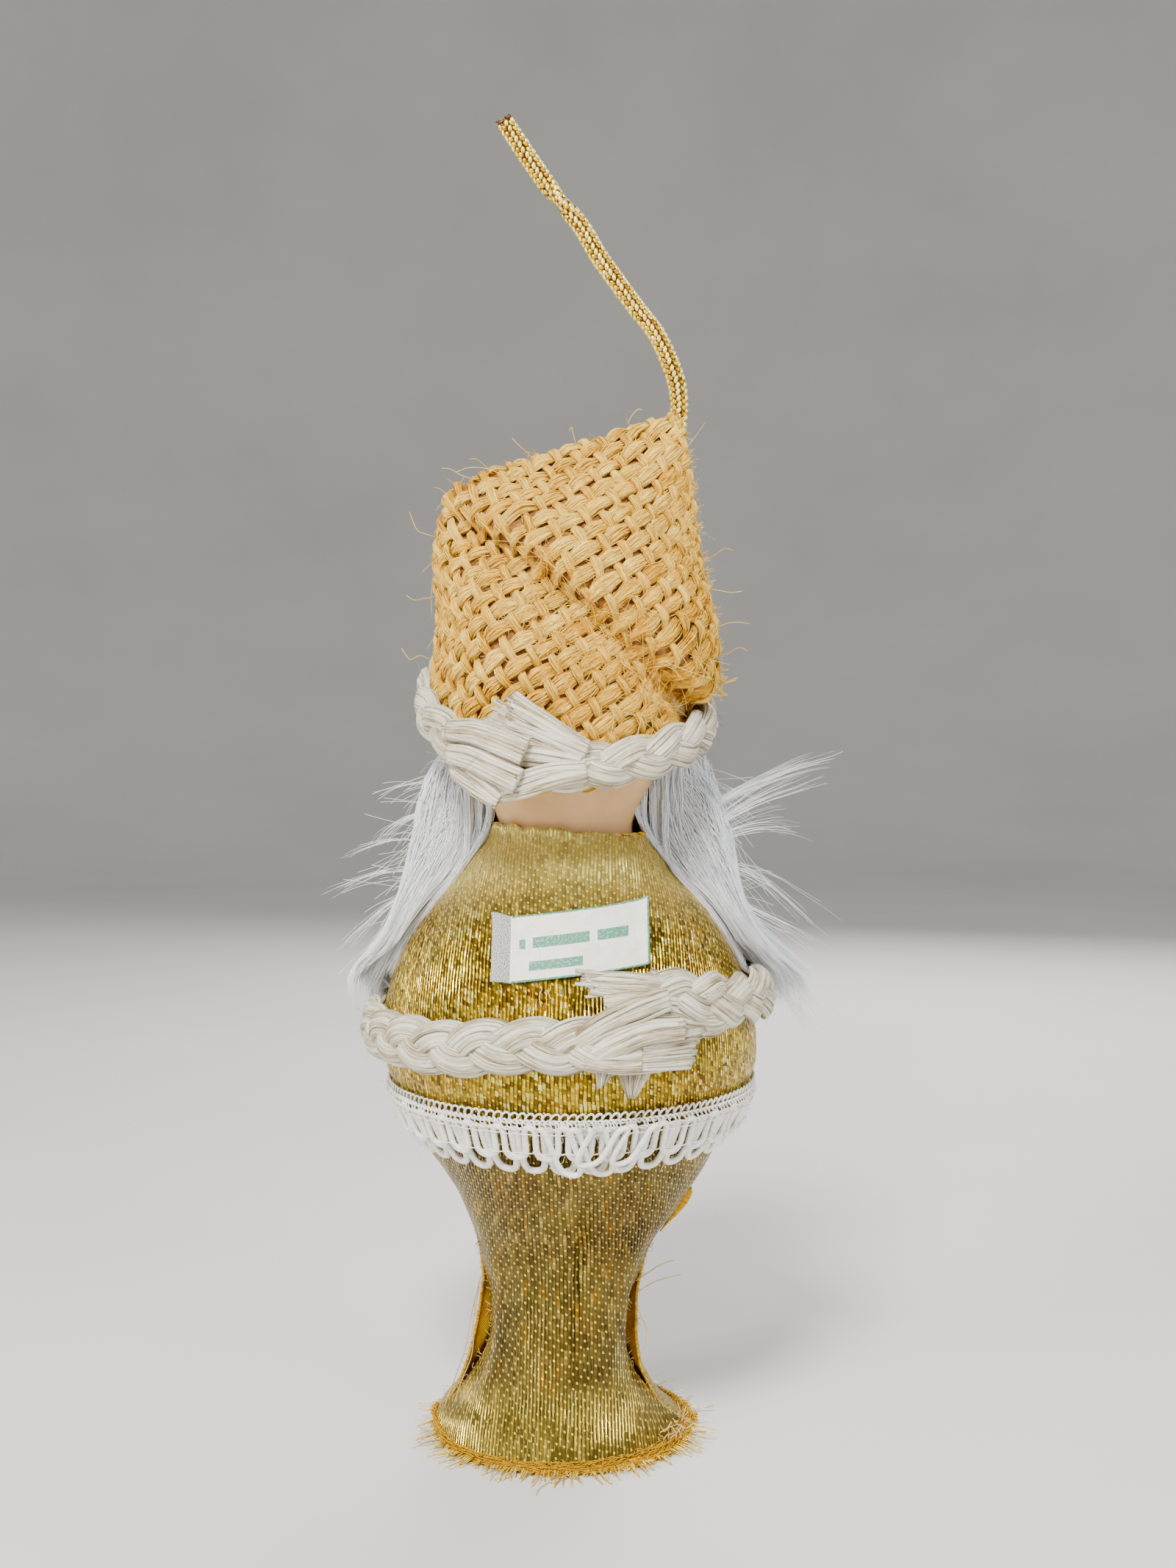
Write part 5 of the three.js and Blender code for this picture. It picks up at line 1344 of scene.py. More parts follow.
# ------------------------------------------------------------------ beard
BACK_R = np.array([[96.8, 33.0], [100.8, 30.2], [105.2, 26.9], [109.5, 23.0], [114, 19.9], [118, 18.4], [122, 18.0], [126, 18.4], [130, 20.0], [134, 22.4], [137, 24.2]])
RIN = np.array([[64, 43.2], [70, 42.9], [76, 42.7], [84, 42.7], [91, 42.7], [93.5, 41.6], [96.8, 35.9], [100.8, 32.3], [105.2, 28.9], [109.5, 25.1], [114, 22.1], [118, 20.5], [122, 20.0], [126, 20.3], [130, 21.8], [134, 24.1], [137, 26.0]])
ROUT = np.array([[64, 44.6], [67, 46.0], [72, 47.2], [80, 47.9], [88, 47.6], [93, 45.8], [97, 41.6], [103, 37.8], [109.5, 35.2], [115, 34.0], [122, 33.4], [128, 32.0], [132, 29.6], [135, 27.4]])
TOPB = np.array([[0, 130.4], [15, 130.8], [30, 131.9], [50, 133.6], [70, 134.6], [100, 134.6]])
BOT = np.array([[0, 64], [20, 66], [40, 71.5], [60, 79.5], [75, 88.5], [92, 96.0]])
f_back, f_rin, f_rout = pchip(*BACK_R.T), pchip(*RIN.T), pchip(*ROUT.T)
f_top, f_bot = pchip(*TOPB.T), pchip(*BOT.T)


def backing_lim(z):
    return 98.0 * (0.76 + 0.24 * smooth(104, 118, z))


def make_backing():
    b = Builder()
    a = np.linspace(-98, 98, 150)[:, None]
    t = np.linspace(0, 1, 64)[None, :]
    top = f_top(np.abs(a))
    z = 96.8 + (top - 96.8) * t
    a = a + 0 * z
    a = a + 0.9 * wave(z * 0.5, 111) * smooth(90, 98, np.abs(a)) * np.sign(a)
    a = a * backing_lim(z) / 98.0
    r = f_back(z) + 0.15 * wave(rad(a) * 6 + z * 0.2, 112)
    P = np.stack([r * np.sin(rad(a)), -r * np.cos(rad(a)), z], -1)
    out = unit(P * [1, 1, 0])
    Q = P + out * 0.9
    nu, nv = 150, 64
    m = nu * nv
    q = grid_faces(nu, nv)
    idx = np.arange(m).reshape(nu, nv)
    ring = np.concatenate([idx[:-1, 0], idx[-1, :-1], idx[1:, -1][::-1], idx[0, 1:][::-1]])
    nxt = np.roll(ring, -1)
    edge = np.stack([ring, nxt, nxt + m, ring + m], -1)
    A = np.stack([rad(a) * 24, z, 0 * z], -1).reshape(-1, 3)
    b.add(np.concatenate([P.reshape(-1, 3), Q.reshape(-1, 3)]), [q[:, ::-1], q + m, edge], np.concatenate([A, A]))
    ob = b.make("beard_backing_cloth", [knit], replaces=["beard_backing"])
    area = float(np.linalg.norm(np.cross(P[1:, :-1] - P[:-1, :-1], P[:-1, 1:] - P[:-1, :-1]), axis=-1).sum())
    wid = float(np.linalg.norm(np.diff(P, axis=0), axis=-1).sum(0).max())
    leng = float(np.linalg.norm(np.diff(P, axis=1), axis=-1).sum(1).max())
    # a small blue mark on the edge at the back
    d = Builder()
    rb = float(f_back(121.0)) + 1.4
    c = np.array([-rb * math.sin(rad(97.5)), -rb * math.cos(rad(97.5)) + 0.3, 121.0])
    th, phs = np.linspace(0, TAU, 15)[:-1], np.linspace(0, math.pi, 8)
    S = np.stack([np.outer(np.cos(th), np.sin(phs)) * 0.45, np.outer(np.sin(th), np.sin(phs)) * 0.35, np.outer(np.ones(14), np.cos(phs)) * 0.55], -1) + c
    d.add(S.reshape(-1, 3), grid_faces(14, 8, wrap=True))
    dot = d.make("backing_mark", [blue_dot])
    return wid, leng, area


BACKING_FLAT = make_backing()
SIDE_R = np.array([[64, 44.0], [78, 47.5], [84, 49.0], [88.5, 48.0], [91, 45.6], [94, 42.4], [97.6, 38.8], [103, 35.6], [106.7, 34.3], [117, 32.3], [126, 30.4], [135, 28.8]])
SIDE_L = np.array([[64, 42.0], [78, 43.0], [84, 43.6], [88.5, 43.4], [91, 42.4], [94, 39.8], [97.6, 36.6], [103, 34.0], [109, 31.8], [120.6, 29.4], [132, 28.5], [135, 28.3]])
f_sr, f_sl = pchip(*SIDE_R.T), pchip(*SIDE_L.T)
BOXX = (float(CAD_BOX[0][0]) * 1000 if abs(CAD_BOX[0][0]) < 1 else float(CAD_BOX[0][0]), float(CAD_BOX[1][0]) * 1000 if abs(CAD_BOX[1][0]) < 1 else float(CAD_BOX[1][0]))
BOXY = (float(CAD_BOX[0][1]) * 1000 if abs(CAD_BOX[0][1]) < 1 else float(CAD_BOX[0][1]), float(CAD_BOX[1][1]) * 1000 if abs(CAD_BOX[1][1]) < 1 else float(CAD_BOX[1][1]))
XLO, XHI = BOXX[0] - 0.03 * (BOXX[1] - BOXX[0]) - 9.4, BOXX[1] + 0.03 * (BOXX[1] - BOXX[0]) + 9.4
YLO, YHI = BOXY[0] - 0.03 * (BOXY[1] - BOXY[0]) - 9.4, BOXY[1] + 0.03 * (BOXY[1] - BOXY[0]) + 9.4


def beard_pos(a, r, z):
    return np.stack([r * np.sin(rad(a)), -r * np.cos(rad(a)), z], -1)


def side_out(a, z):
    """Outer radius of the fur: full in front, close to the neck and shoulders at the sides."""
    k = smooth(46, 80, np.abs(a))
    s = np.where(np.asarray(a) < 0, f_sr(z), f_sl(z))
    return f_rout(z) * (1 - k) + s * k


def keep_in(P):
    P[..., 0] = np.clip(P[..., 0], XLO, XHI)
    P[..., 1] = np.clip(P[..., 1], YLO, YHI)
    return P


def make_beard():
    b = Builder()
    nu, nv = 120, 70
    a = np.linspace(-84, 84, nu)[:, None]
    t = np.linspace(0, 1, nv)[None, :]
    lo, hi = f_bot(np.abs(a)) + 5, f_top(np.abs(a)) - 0.5
    z = lo + (hi - lo) * t
    a = a + 0 * z
    edge = np.minimum(smooth(0, 0.12, t), smooth(1, 0.9, t)) * smooth(84, 74, np.abs(a))
    ri, ro = f_rin(z) + 0.2, side_out(a, z)
    r = ri + np.maximum(ro - ri, 0.6) * 0.55 * (0.25 + 0.75 * edge) + 0.4 * wave(rad(a) * 20, 121, lo=1, hi=4) * edge * wave(z * 0.15 + rad(a) * 3, 122)
    P, Q = beard_pos(a, r, z), beard_pos(a, ri, z)
    m = nu * nv
    q = grid_faces(nu, nv)
    idx = np.arange(m).reshape(nu, nv)
    ring = np.concatenate([idx[:-1, 0], idx[-1, :-1], idx[1:, -1][::-1], idx[0, 1:][::-1]])
    nxt = np.roll(ring, -1)
    ed = np.stack([ring, nxt, nxt + m, ring + m], -1)
    b.add(np.concatenate([P.reshape(-1, 3), Q.reshape(-1, 3)]), [q, q[:, ::-1] + m, ed[:, ::-1]])
    b.make("beard_fur_root", [under_fur], replaces=["beard_fur"])

    n = 9
    t = np.linspace(0, 1, n)[None, :]

    def grow(g, cnt, clumps, amin, amax, lmin, lmax, zlo, zhi, flo, fhi, down=0.0):
        """Locks of strands that leave the backing, turn down and lie over the shoulders and chest."""
        ca = g.uniform(amin, amax, clumps)
        cz = np.clip(zlo + (np.minimum(f_top(np.abs(ca)), zhi) - zlo) * g.uniform(0, 1, clumps) ** 0.85, 97.0, f_top(np.abs(ca)) - 0.3)
        cf = g.uniform(flo, fhi, clumps)
        cL = g.uniform(lmin, lmax, clumps)
        cda, cw = g.normal(0, 2.6, clumps), g.normal(0, 1.0, clumps)
        k = g.integers(0, clumps, cnt)
        da0 = g.normal(0, 2.2, cnt)
        lim = backing_lim(cz[k]) - 0.5
        a0 = np.clip(ca[k] + da0, -lim, lim)
        top = f_top(np.abs(a0))
        z0 = np.clip(cz[k] + g.normal(0, 1.3, cnt), 97.0, top - 0.2)
        L = cL[k] * g.uniform(0.8, 1.1, cnt)
        zend = np.maximum(z0 - L, f_bot(np.abs(a0)) - down - g.gamma(2.0, 0.8, cnt) + 1.5)
        zend = np.minimum(zend, z0 - 6)
        side = smooth(60, 84, np.abs(a0))
        z = z0[:, None] - (z0 - zend)[:, None] * t ** 1.12 + (0.9 * g.uniform(0, 1, cnt))[:, None] * np.sin(t * math.pi) * (1 - t)
        zc = np.clip(z, 64, 136)
        a = ca[k][:, None] * (1 - 0.0 * t) + (a0 - ca[k])[:, None] * (1 - 0.72 * t ** 0.8) + cda[k][:, None] * t ** 1.4 + (cw[k] * 1.3)[:, None] * np.sin(t * math.pi * 1.6) + g.normal(0, 0.5, cnt)[:, None] * t ** 2
        fr = np.clip(cf[k][:, None] + (g.normal(0, 0.16, cnt)[:, None]) * (1 - 0.6 * t), 0.04, 1.06)
        ri = f_rin(zc)
        # at the sides the lower hair lies on the shoulder and runs off it straight
        ri = ri * (1 - side[:, None]) + np.minimum(ri, robe_r(90 * np.sign(a0)[:, None], zc) + 1.6 + 3.4 * smooth(97, 91, zc)) * side[:, None]
        ro = np.maximum(side_out(a, zc), ri + 0.8)
        r0 = f_rin(np.clip(z0, 64, 137))[:, None] - 0.7
        tgt = ri + 0.25 + (ro - ri - 0.25) * fr
        w = 1 - (1 - t) ** 3.2
        r = r0 * (1 - w) + tgt * w
        P = beard_pos(a, r, z)
        P = P + g.normal(0, 0.12, (cnt, n, 3)) * t[..., None] * np.array([1, 1, 0.3])
        N = unit(P * [1, 1, 0])
        rr = (0.080 * g.uniform(0.7, 1.25, cnt))[:, None] * np.array([[0.9, 1.05, 1.05, 1.0, 0.95, 0.85, 0.72, 0.5, 0.25]])
        return keep_in(P), N, rr

    sets = (("a", [(8200, 800, -96, -46, 20, 36, 97.5, 136, 0.15, 1.0, 0)], 131),
            ("b", [(8200, 800, 46, 96, 20, 36, 97.5, 136, 0.15, 1.0, -1)], 132),
            ("c", [(8800, 800, -52, 52, 20, 40, 97.5, 136, 0.45, 1.04, 1)], 133),
            # the fur's cut edges seen from the back: a soft close layer right over the edge of the backing
            ("d", [(4200, 260, -97, -86, 13, 30, 103, 136, 0.05, 1.0, 0), (4000, 260, 86, 97, 13, 28, 103, 136, 0.05, 1.0, -1)], 135))
    for nm, parts, seed in sets:
        g = np.random.default_rng(seed)
        bb = Builder()
        for prm in parts:
            P, N, rr = grow(g, *prm)
            sweep(bb, P, N, rr, rr, 3, rnd=np.clip(0.5 + g.normal(0, 0.22, len(P)), 0, 1), cap=False)
        bb.make("beard_fur_%s" % nm, [fur_mat])

    # locks at the sides laid along given lines, as the photograph shows them from the back: (x, y, z)
    g = np.random.default_rng(134)
    bb = Builder()
    guides = [
        # close to the neck and shoulders on both sides
        ([(-15.2, 3.0, 128), (-15.0, 3.4, 122.5), (-15.6, 3.4, 119.0), (-17.2, 3.4, 116.4), (-18.9, 3.3, 114), (-21.0, 3.2, 111.5), (-24.0, 3.2, 108), (-27.4, 3.2, 104.5)], 420, 0.55, 0.7),
        ([(-13.9, 3.6, 127), (-13.8, 3.8, 122.4), (-14.8, 4.0, 119.9), (-16.0, 3.9, 117.8), (-17.8, 3.6, 115.6), (-20.2, 3.3, 112.6)], 300, 0.35, 0.7),
        ([(-17.2, 2.0, 129), (-17.2, 2.2, 123), (-17.4, 2.2, 118.6), (-19.2, 2.2, 114.6), (-22.6, 2.2, 110.2), (-26.0, 2.2, 106.2)], 420, 0.8, 0.7),
        ([(15.0, 3.0, 128), (14.8, 3.4, 122.5), (15.4, 3.4, 119.0), (16.8, 3.4, 116.4), (18.4, 3.3, 114), (20.4, 3.2, 111.5), (23.2, 3.2, 108), (26.4, 3.2, 104.5)], 420, 0.55, 0.7),
        ([(17.0, 2.0, 129), (17.0, 2.2, 123), (17.2, 2.2, 118.6), (18.8, 2.2, 114.6), (22.0, 2.2, 110.2), (25.2, 2.2, 106.2)], 420, 0.8, 0.7),
        ([(-19.4, 3.0, 131), (-19.5, 3.2, 123), (-19.4, 3.0, 117), (-20.3, 2.8, 112.5), (-23.5, 3.0, 108), (-27.4, 3.2, 104), (-30.3, 3.0, 100), (-32.9, 2.2, 95.5), (-36.0, 0.8, 90)], 460, 0.6, 0.7),
        ([(-21.2, 1.6, 131), (-21.4, 1.8, 123), (-21.9, 1.8, 117), (-23.4, 1.8, 112.5), (-26.3, 1.6, 108), (-29.6, 1.4, 104), (-32.3, 1.0, 100), (-35.4, 0, 95.5), (-39.4, -1, 90)], 420, 0.9, 0.7),
        ([(19.2, 3.0, 131), (19.3, 3.2, 123), (19.2, 3.0, 117), (19.8, 2.8, 112.5), (22.9, 3.0, 108), (26.4, 3.2, 104), (29.4, 3.0, 100), (32.0, 2.2, 95.5), (35.0, 0.8, 90)], 460, 0.6, 0.7),
        ([(21.0, 1.6, 131), (21.2, 1.8, 123), (21.6, 1.8, 117), (22.8, 1.8, 112.5), (25.6, 1.6, 108), (28.8, 1.4, 104), (31.4, 1.0, 100), (34.2, 0, 95.5), (37.4, -1, 90)], 420, 0.9, 0.7),
        # -X side: over the shoulder, past the belt, out to straight wisps
        ([(-20.5, 1, 131), (-22, 1.2, 122), (-24.5, 1, 113), (-29, 0.5, 105), (-34.2, 0, 98), (-39, -1, 91.5), (-43.5, -2, 86)], 330, 1.5, 0.55),
        ([(-24, 0.5, 133), (-26, 0.5, 123), (-28.2, 0.5, 114), (-31.6, 0, 106), (-36, -1, 99), (-42, -2, 92), (-48.6, -3, 85.6)], 380, 1.7, 0.55),
        ([(-27.5, -0.5, 133), (-29.2, -0.5, 124), (-31, -0.5, 115), (-33.4, -1, 107), (-37.6, -2, 99.6), (-44, -3, 93.6), (-50.5, -4, 88)], 260, 1.1, 0.6),
        ([(-31, -1, 104), (-36.5, -1.5, 97.5), (-43.0, -2, 90.5), (-49.5, -3, 84.5), (-54.4, -3.5, 80.4)], 46, 1.1, 0.2),
        ([(-32, -2, 101), (-38, -2.5, 93.5), (-44.5, -3, 85.5), (-50.6, -3.5, 76.8)], 34, 1.1, 0.2),
        ([(-33, -2, 99), (-40, -2.5, 91), (-47, -3, 82), (-54.0, -3.5, 75.6)], 30, 1.1, 0.2),
        # thin tufts that stand off it
        ([(-24, 0, 120), (-30, 0.5, 124), (-38, 0, 127.8), (-46, -0.5, 130.8), (-54.2, -1, 132.8)], 30, 1.1, 0.1),
        ([(-24, 0, 117), (-31, 0.5, 121), (-38, 0, 125), (-45, -0.5, 128.0), (-49.5, -1, 130.0)], 26, 1.7, 0.1),
        ([(-25, 0, 114), (-31, 0, 117.5), (-37, 0, 119.6), (-43, -0.5, 120.0), (-47.5, -1, 118.6)], 20, 1.9, 0.1),
        ([(-26, 0, 111), (-32, 0, 111.5), (-38, 0, 109.5), (-44, -0.5, 105.0), (-50.0, -1, 99.6)], 16, 1.8, 0.1),
        ([(-28, 0, 106), (-34, 0, 104), (-39, 0, 101.5), (-44, -0.5, 98.8), (-48.8, -1, 95.4)], 16, 1.7, 0.1),
        # +X side
        ([(20.5, 1, 131), (21.6, 1.2, 122), (24, 1, 113), (28.6, 0.5, 105), (33.0, 0, 98), (36.4, -1, 91.6), (38.8, -2, 86)], 330, 1.4, 0.55),
        ([(23.5, 0.5, 132), (24.8, 0.5, 123), (27, 0.5, 114), (30.2, 0, 106), (33.8, -1, 99), (37.4, -2, 92), (40.4, -3, 86)], 340, 1.4, 0.55),
        ([(26.6, -0.5, 131), (27.8, -0.5, 123), (29.4, -0.5, 114), (31.2, -1, 107), (34.2, -2, 100), (38.4, -3, 94.6), (41.8, -4, 90)], 220, 1.0, 0.6),
        ([(28, 0, 110), (35, 0.5, 110.4), (42.0, 0, 108.4), (48.8, -1, 105.6)], 9, 0.5, 0.1),
        ([(29, 0, 107), (35, 0.5, 103.6), (40.5, 0, 98.6), (45.2, -1, 93.6)], 16, 0.8, 0.1),
        ([(27, 0, 116), (33, 0.5, 116.6), (39, 0, 115.2), (44.2, -1, 112.8)], 10, 0.6, 0.1),
        ([(26, 0, 122), (31, 0.5, 121), (36, 0, 117.8), (39.4, -1, 113.6)], 14, 0.9, 0.1),
    ]
    for pts, cnt, spread, roots in guides:
        line = resample(pts, 1.0)
        m = len(line) - 1
        t0 = g.uniform(0, roots, cnt)[:, None]
        ln = g.uniform(0.35, 1.0, cnt)[:, None] if roots > 0.3 else g.uniform(0.7, 1.0, cnt)[:, None]
        tt = np.linspace(0, 1, 9)[None, :]
        tc = np.minimum(t0 + (1.0 - t0) * ln * tt, 1.0)
        P = np.stack([np.interp((tc * m).ravel(), np.arange(m + 1), line[:, k]).reshape(cnt, 9) for k in range(3)], -1)
        o = g.normal(0, 1, (cnt, 3)) * [0.62, 0.95, 0.5]
        wid = spread * ((1.0 - 0.62 * tc ** 1.3) if roots > 0.3 else (0.35 + 1.5 * tc ** 1.2))
        P = P + o[:, None] * wid[..., None] + g.normal(0, 0.5, (cnt, 3))[:, None] * (tt ** 2)[..., None]
        P = P + g.normal(0, 0.06, (cnt, 9, 3))
        keep_in(P)
        P[..., 1] = np.minimum(P[..., 1], 5.5)
        N = unit(P * [1, 1, 0])
        rr = ((0.075 if roots > 0.3 else 0.052) * g.uniform(0.7, 1.25, cnt))[:, None] * np.linspace(1.0, 0.30, 9)[None, :]
        sweep(bb, P, N, rr, rr, 3, rnd=np.clip(0.55 + g.normal(0, 0.22, cnt), 0, 1), cap=False)
    # flyaway hairs
    cnt = 230
    sgn = g.choice([-1, 1], cnt)
    a0 = sgn * g.uniform(50, 92, cnt)
    z0 = g.uniform(100, 131, cnt)
    r0 = side_out(a0, z0) - 2.5
    p0 = beard_pos(a0, r0, z0)
    d = unit(p0 * [1, 1, 0]) + np.stack([g.normal(0, 0.25, cnt), g.normal(0, 0.3, cnt), g.uniform(-1.6, 0.3, cnt)], -1)
    L = g.uniform(6, 15, cnt)[:, None]
    tt = np.linspace(0, 1, 8)
    P = p0[:, None] + unit(d)[:, None] * (L * tt)[..., None] + np.array([0, 0, -1.0]) * (g.uniform(0, 5, cnt)[:, None] * tt ** 2)[..., None] + g.normal(0, 1.2, (cnt, 3))[:, None] * (tt ** 2)[None, :, None]
    keep_in(P)
    P[..., 1] = np.minimum(P[..., 1], 8.0)
    sweep(bb, P, unit(P * [1, 1, 0]), 0.042, 0.042, 3, rnd=g.uniform(0.3, 1, cnt), cap=False)
    bb.make("beard_fur_side_tufts", [fur_mat])


make_beard()


# ------------------------------------------------------------------ head, face and moustache
def make_head():
    b = Builder()
    prof = np.array([[111.55, 13.2], [119.2, 13.2], [122, 14.1], [128.5, 17.3], [134, 20.6], [138.5, 22.7], [143.5, 23.6], [149, 22.7], [154, 19.6], [158.4, 12.0], [159.6, 6.0], [160, 0.02]])
    f = pchip(prof[:, 0], prof[:, 1])
    z = np.concatenate([np.linspace(111.55, 136, 26)[:-1], np.linspace(136, 152, 50)[:-1], np.linspace(152, 160, 26)])
    a = np.arange(180) * 2.0
    A, Z = np.meshgrid(a, z, indexing="ij")
    R = f(Z)
    # angle from the front
    th = rad(A)
    x = R * np.sin(th)
    fr = smooth(0.0, 0.35, np.cos(th))

    def g2(cx, cz, wx, wz):
        return (np.exp(-((x - cx) / wx) ** 2 - ((Z - cz) / wz) ** 2) + np.exp(-((x + cx) / wx) ** 2 - ((Z - cz) / wz) ** 2)) * fr
    R = R + 0.85 * g2(11.8, 140.8, 5.0, 4.4) - 0.75 * g2(8.6, 147.4, 3.4, 2.4) + 0.45 * g2(8.2, 151.2, 4.4, 1.6) - 0.35 * g2(8.4, 144.0, 3.6, 0.9)
    R = R + 0.25 * np.exp(-(x / 5) ** 2 - ((Z - 148) / 4) ** 2) * fr
    P = np.stack([R * np.sin(th), -R * np.cos(th), Z], -1)
    nb = len(z)
    faces = [grid_faces(180, nb, wrap=True)[:, ::-1]]
    base = np.arange(180) * nb
    b.add(P.reshape(-1, 3), faces + [base[None, :]])
    b.make("head_form", [skin], replaces=["head"])

    def ball(name, c, r, mat, node, shape=None, nu=48, nv=32):
        bb = Builder()
        u, v = np.arange(nu) / nu * TAU, np.linspace(1e-3, math.pi - 1e-3, nv)
        U, V = np.meshgrid(u, v, indexing="ij")
        D = np.stack([np.cos(U) * np.sin(V), np.sin(U) * np.sin(V), np.cos(V)], -1)
        k = np.ones_like(U) if shape is None else shape(D)
        bb.add((D * r * k[..., None] + c).reshape(-1, 3), [grid_faces(nu, nv, wrap=True)[:, ::-1]])
        return bb.make(name, [mat], replaces=[node])

    def nose_shape(D):
        return 1 + 0.05 * np.exp(-((np.abs(D[..., 0]) - 0.8) / 0.3) ** 2 - ((D[..., 2] + 0.35) / 0.4) ** 2) - 0.06 * np.exp(-((D[..., 2] - 0.9) / 0.5) ** 2)
    ball("nose_bead", (0, -26.4, 144.4), np.array([4.4, 4.2, 4.2]), nose_skin, "nose", nose_shape, 64, 40)
    for sx, node in ((1, "eye_left"), (-1, "eye_right")):
        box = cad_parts[node]
        lo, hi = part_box(node)
        c = (np.array(lo) + np.array(hi)) / 2 / MM
        ball("bead_" + node, (c[0], -23.4, c[2]), np.array([1.55, 1.5, 1.6]), bead, node)


nose_skin = simple("nose_skin", (206, 120, 96), (222, 142, 116), (232, 160, 134), 220, 0.5, 0.04, spec=0.4)
make_head()


def make_moustache():
    sp = np.array([(0.9, 26.6, 136.0, 1.6), (3.0, 27.7, 135.9, 2.9), (6.4, 27.9, 135.5, 3.2), (10.0, 27.0, 135.5, 2.8), (13.6, 25.4, 136.4, 2.0), (16.6, 23.4, 138.2, 1.1), (17.8, 22.6, 139.6, 0.5)])
    for sx, node, seed in ((1, "moustache_left", 141), (-1, "moustache_right", 142)):
        pts = np.stack([sp[:, 0] * sx, -sp[:, 1], sp[:, 2]], -1)
        line = resample(pts, 0.6)
        par = np.linspace(0, 1, len(line))
        rr = np.interp(par, np.linspace(0, 1, len(sp)), sp[:, 3])
        b = Builder()
        sweep(b, line, (0, -1, 0), rr * 0.86, rr * 0.80, 20, rnd=0.4, mat=1)
        g = np.random.default_rng(seed)
        cnt = 2600
        n = 8
        t = np.linspace(0, 1, n)[None, :]
        s0 = g.uniform(-0.02, 0.72, cnt)[:, None]
        s1 = np.minimum(s0 + g.uniform(0.25, 0.5, cnt)[:, None], 1.0)
        S = np.clip(s0 + (s1 - s0) * t, 0, 1)
        C = np.stack([np.interp(S.ravel(), par, line[:, k]).reshape(cnt, n) for k in range(3)], -1)
        T = unit(np.stack([np.interp(S.ravel(), par, np.gradient(line[:, k])).reshape(cnt, n) for k in range(3)], -1))
        up = unit(np.cross(T, np.array([0, -1.0, 0])))
        fo = np.cross(up, T)
        th = g.uniform(0, TAU, cnt)[:, None] + 0.5 * t * g.normal(0, 1, cnt)[:, None]
        R = np.interp(S.ravel(), par, rr).reshape(cnt, n) * (0.84 + 0.2 * np.sin(t * math.pi) * g.uniform(0.4, 1.3, cnt)[:, None]) + 0.5 * t ** 2 * g.uniform(-0.2, 1.0, cnt)[:, None]
        P = C + up * (np.cos(th) * R)[..., None] + fo * (np.sin(th) * R)[..., None]
        Nn = unit(up * np.cos(th)[..., None] + fo * np.sin(th)[..., None])
        w = (0.08 * g.uniform(0.7, 1.2, cnt))[:, None] * np.linspace(1, 0.4, n)[None, :]
        sweep(b, P, Nn, w, w, 3, rnd=np.clip(0.55 + g.normal(0, 0.2, cnt), 0, 1), cap=False)
        b.make(node + "_fur", [fur_mat, under_fur], replaces=[node])


make_moustache()


# ------------------------------------------------------------------ paper label
def label_material():
    m = Mat("label_paper")
    u, v, r = m.cuv()

    def rect(u0, u1, v0, v1):
        a = m.math("MULTIPLY", m.math("GREATER_THAN", u, u0), m.math("LESS_THAN", u, u1))
        c = m.math("MULTIPLY", m.math("GREATER_THAN", v, v0), m.math("LESS_THAN", v, v1))
        return m.math("MULTIPLY", a, c)

    def either(items):
        x = items[0]
        for i in items[1:]:
            x = m.math("MAXIMUM", x, i)
        return x
    # a thin printed line along three edges and plain bars in two rows
    frame_ = m.math("SUBTRACT", rect(-20.0, 9.4, -9.0, 9.0), rect(-14.85, 9.4, -5.28, 5.28))
    bars = either([rect(6.9, 8.0, -0.1, 1.5), rect(-4.6, 5.6, -0.1, 1.7), rect(-11.6, -6.0, -0.1, 1.7), rect(-3.4, 6.2, -3.9, -2.3)])
    n1 = m.noise(m.xyz(m.math("MULTIPLY", u, 2.5), m.math("MULTIPLY", v, 2.5), 0.0), 1.0, 5.0)
    n2 = m.noise(m.xyz(m.math("MULTIPLY", u, 0.35), m.math("MULTIPLY", v, 0.35), 3.0), 1.0, 3.0)
    paper = m.ramp(n1, [(0.3, (226, 225, 206)), (0.5, (240, 239, 224)), (0.7, (248, 247, 236))])
    paper = m.mix(m.math("MULTIPLY", m.math("MAXIMUM", m.math("SUBTRACT", n2, 0.42), 0.0), 1.6), paper, (206, 202, 172))
    n3 = m.noise(m.xyz(m.math("MULTIPLY", u, 5.0), m.math("MULTIPLY", v, 5.0), 5.0), 1.0, 2.0)
    paper = m.mix(m.ramp(n3, [(0.68, (0, 0, 0)), (0.76, (150, 150, 150))]), paper, (178, 168, 132))
    ink = m.math("MULTIPLY", m.math("MAXIMUM", frame_, bars), m.ramp(n1, [(0.3, (170, 170, 170)), (0.5, (250, 250, 250))]))
    c = m.mix(ink, paper, (52, 132, 104))
    speck = m.noise(m.xyz(m.math("MULTIPLY", u, 6.0), m.math("MULTIPLY", v, 6.0), 9.0), 1.0, 3.0)
    strip = m.ramp(speck, [(0.38, (92, 88, 80)), (0.50, (166, 164, 156)), (0.64, (212, 210, 202))])
    c = m.mix(m.math("GREATER_THAN", u, 9.6), c, strip)
    return m.done(c, 0.62, 0.0, m.bump(n1, 0.03), spec=0.35)


label_mat = label_material()


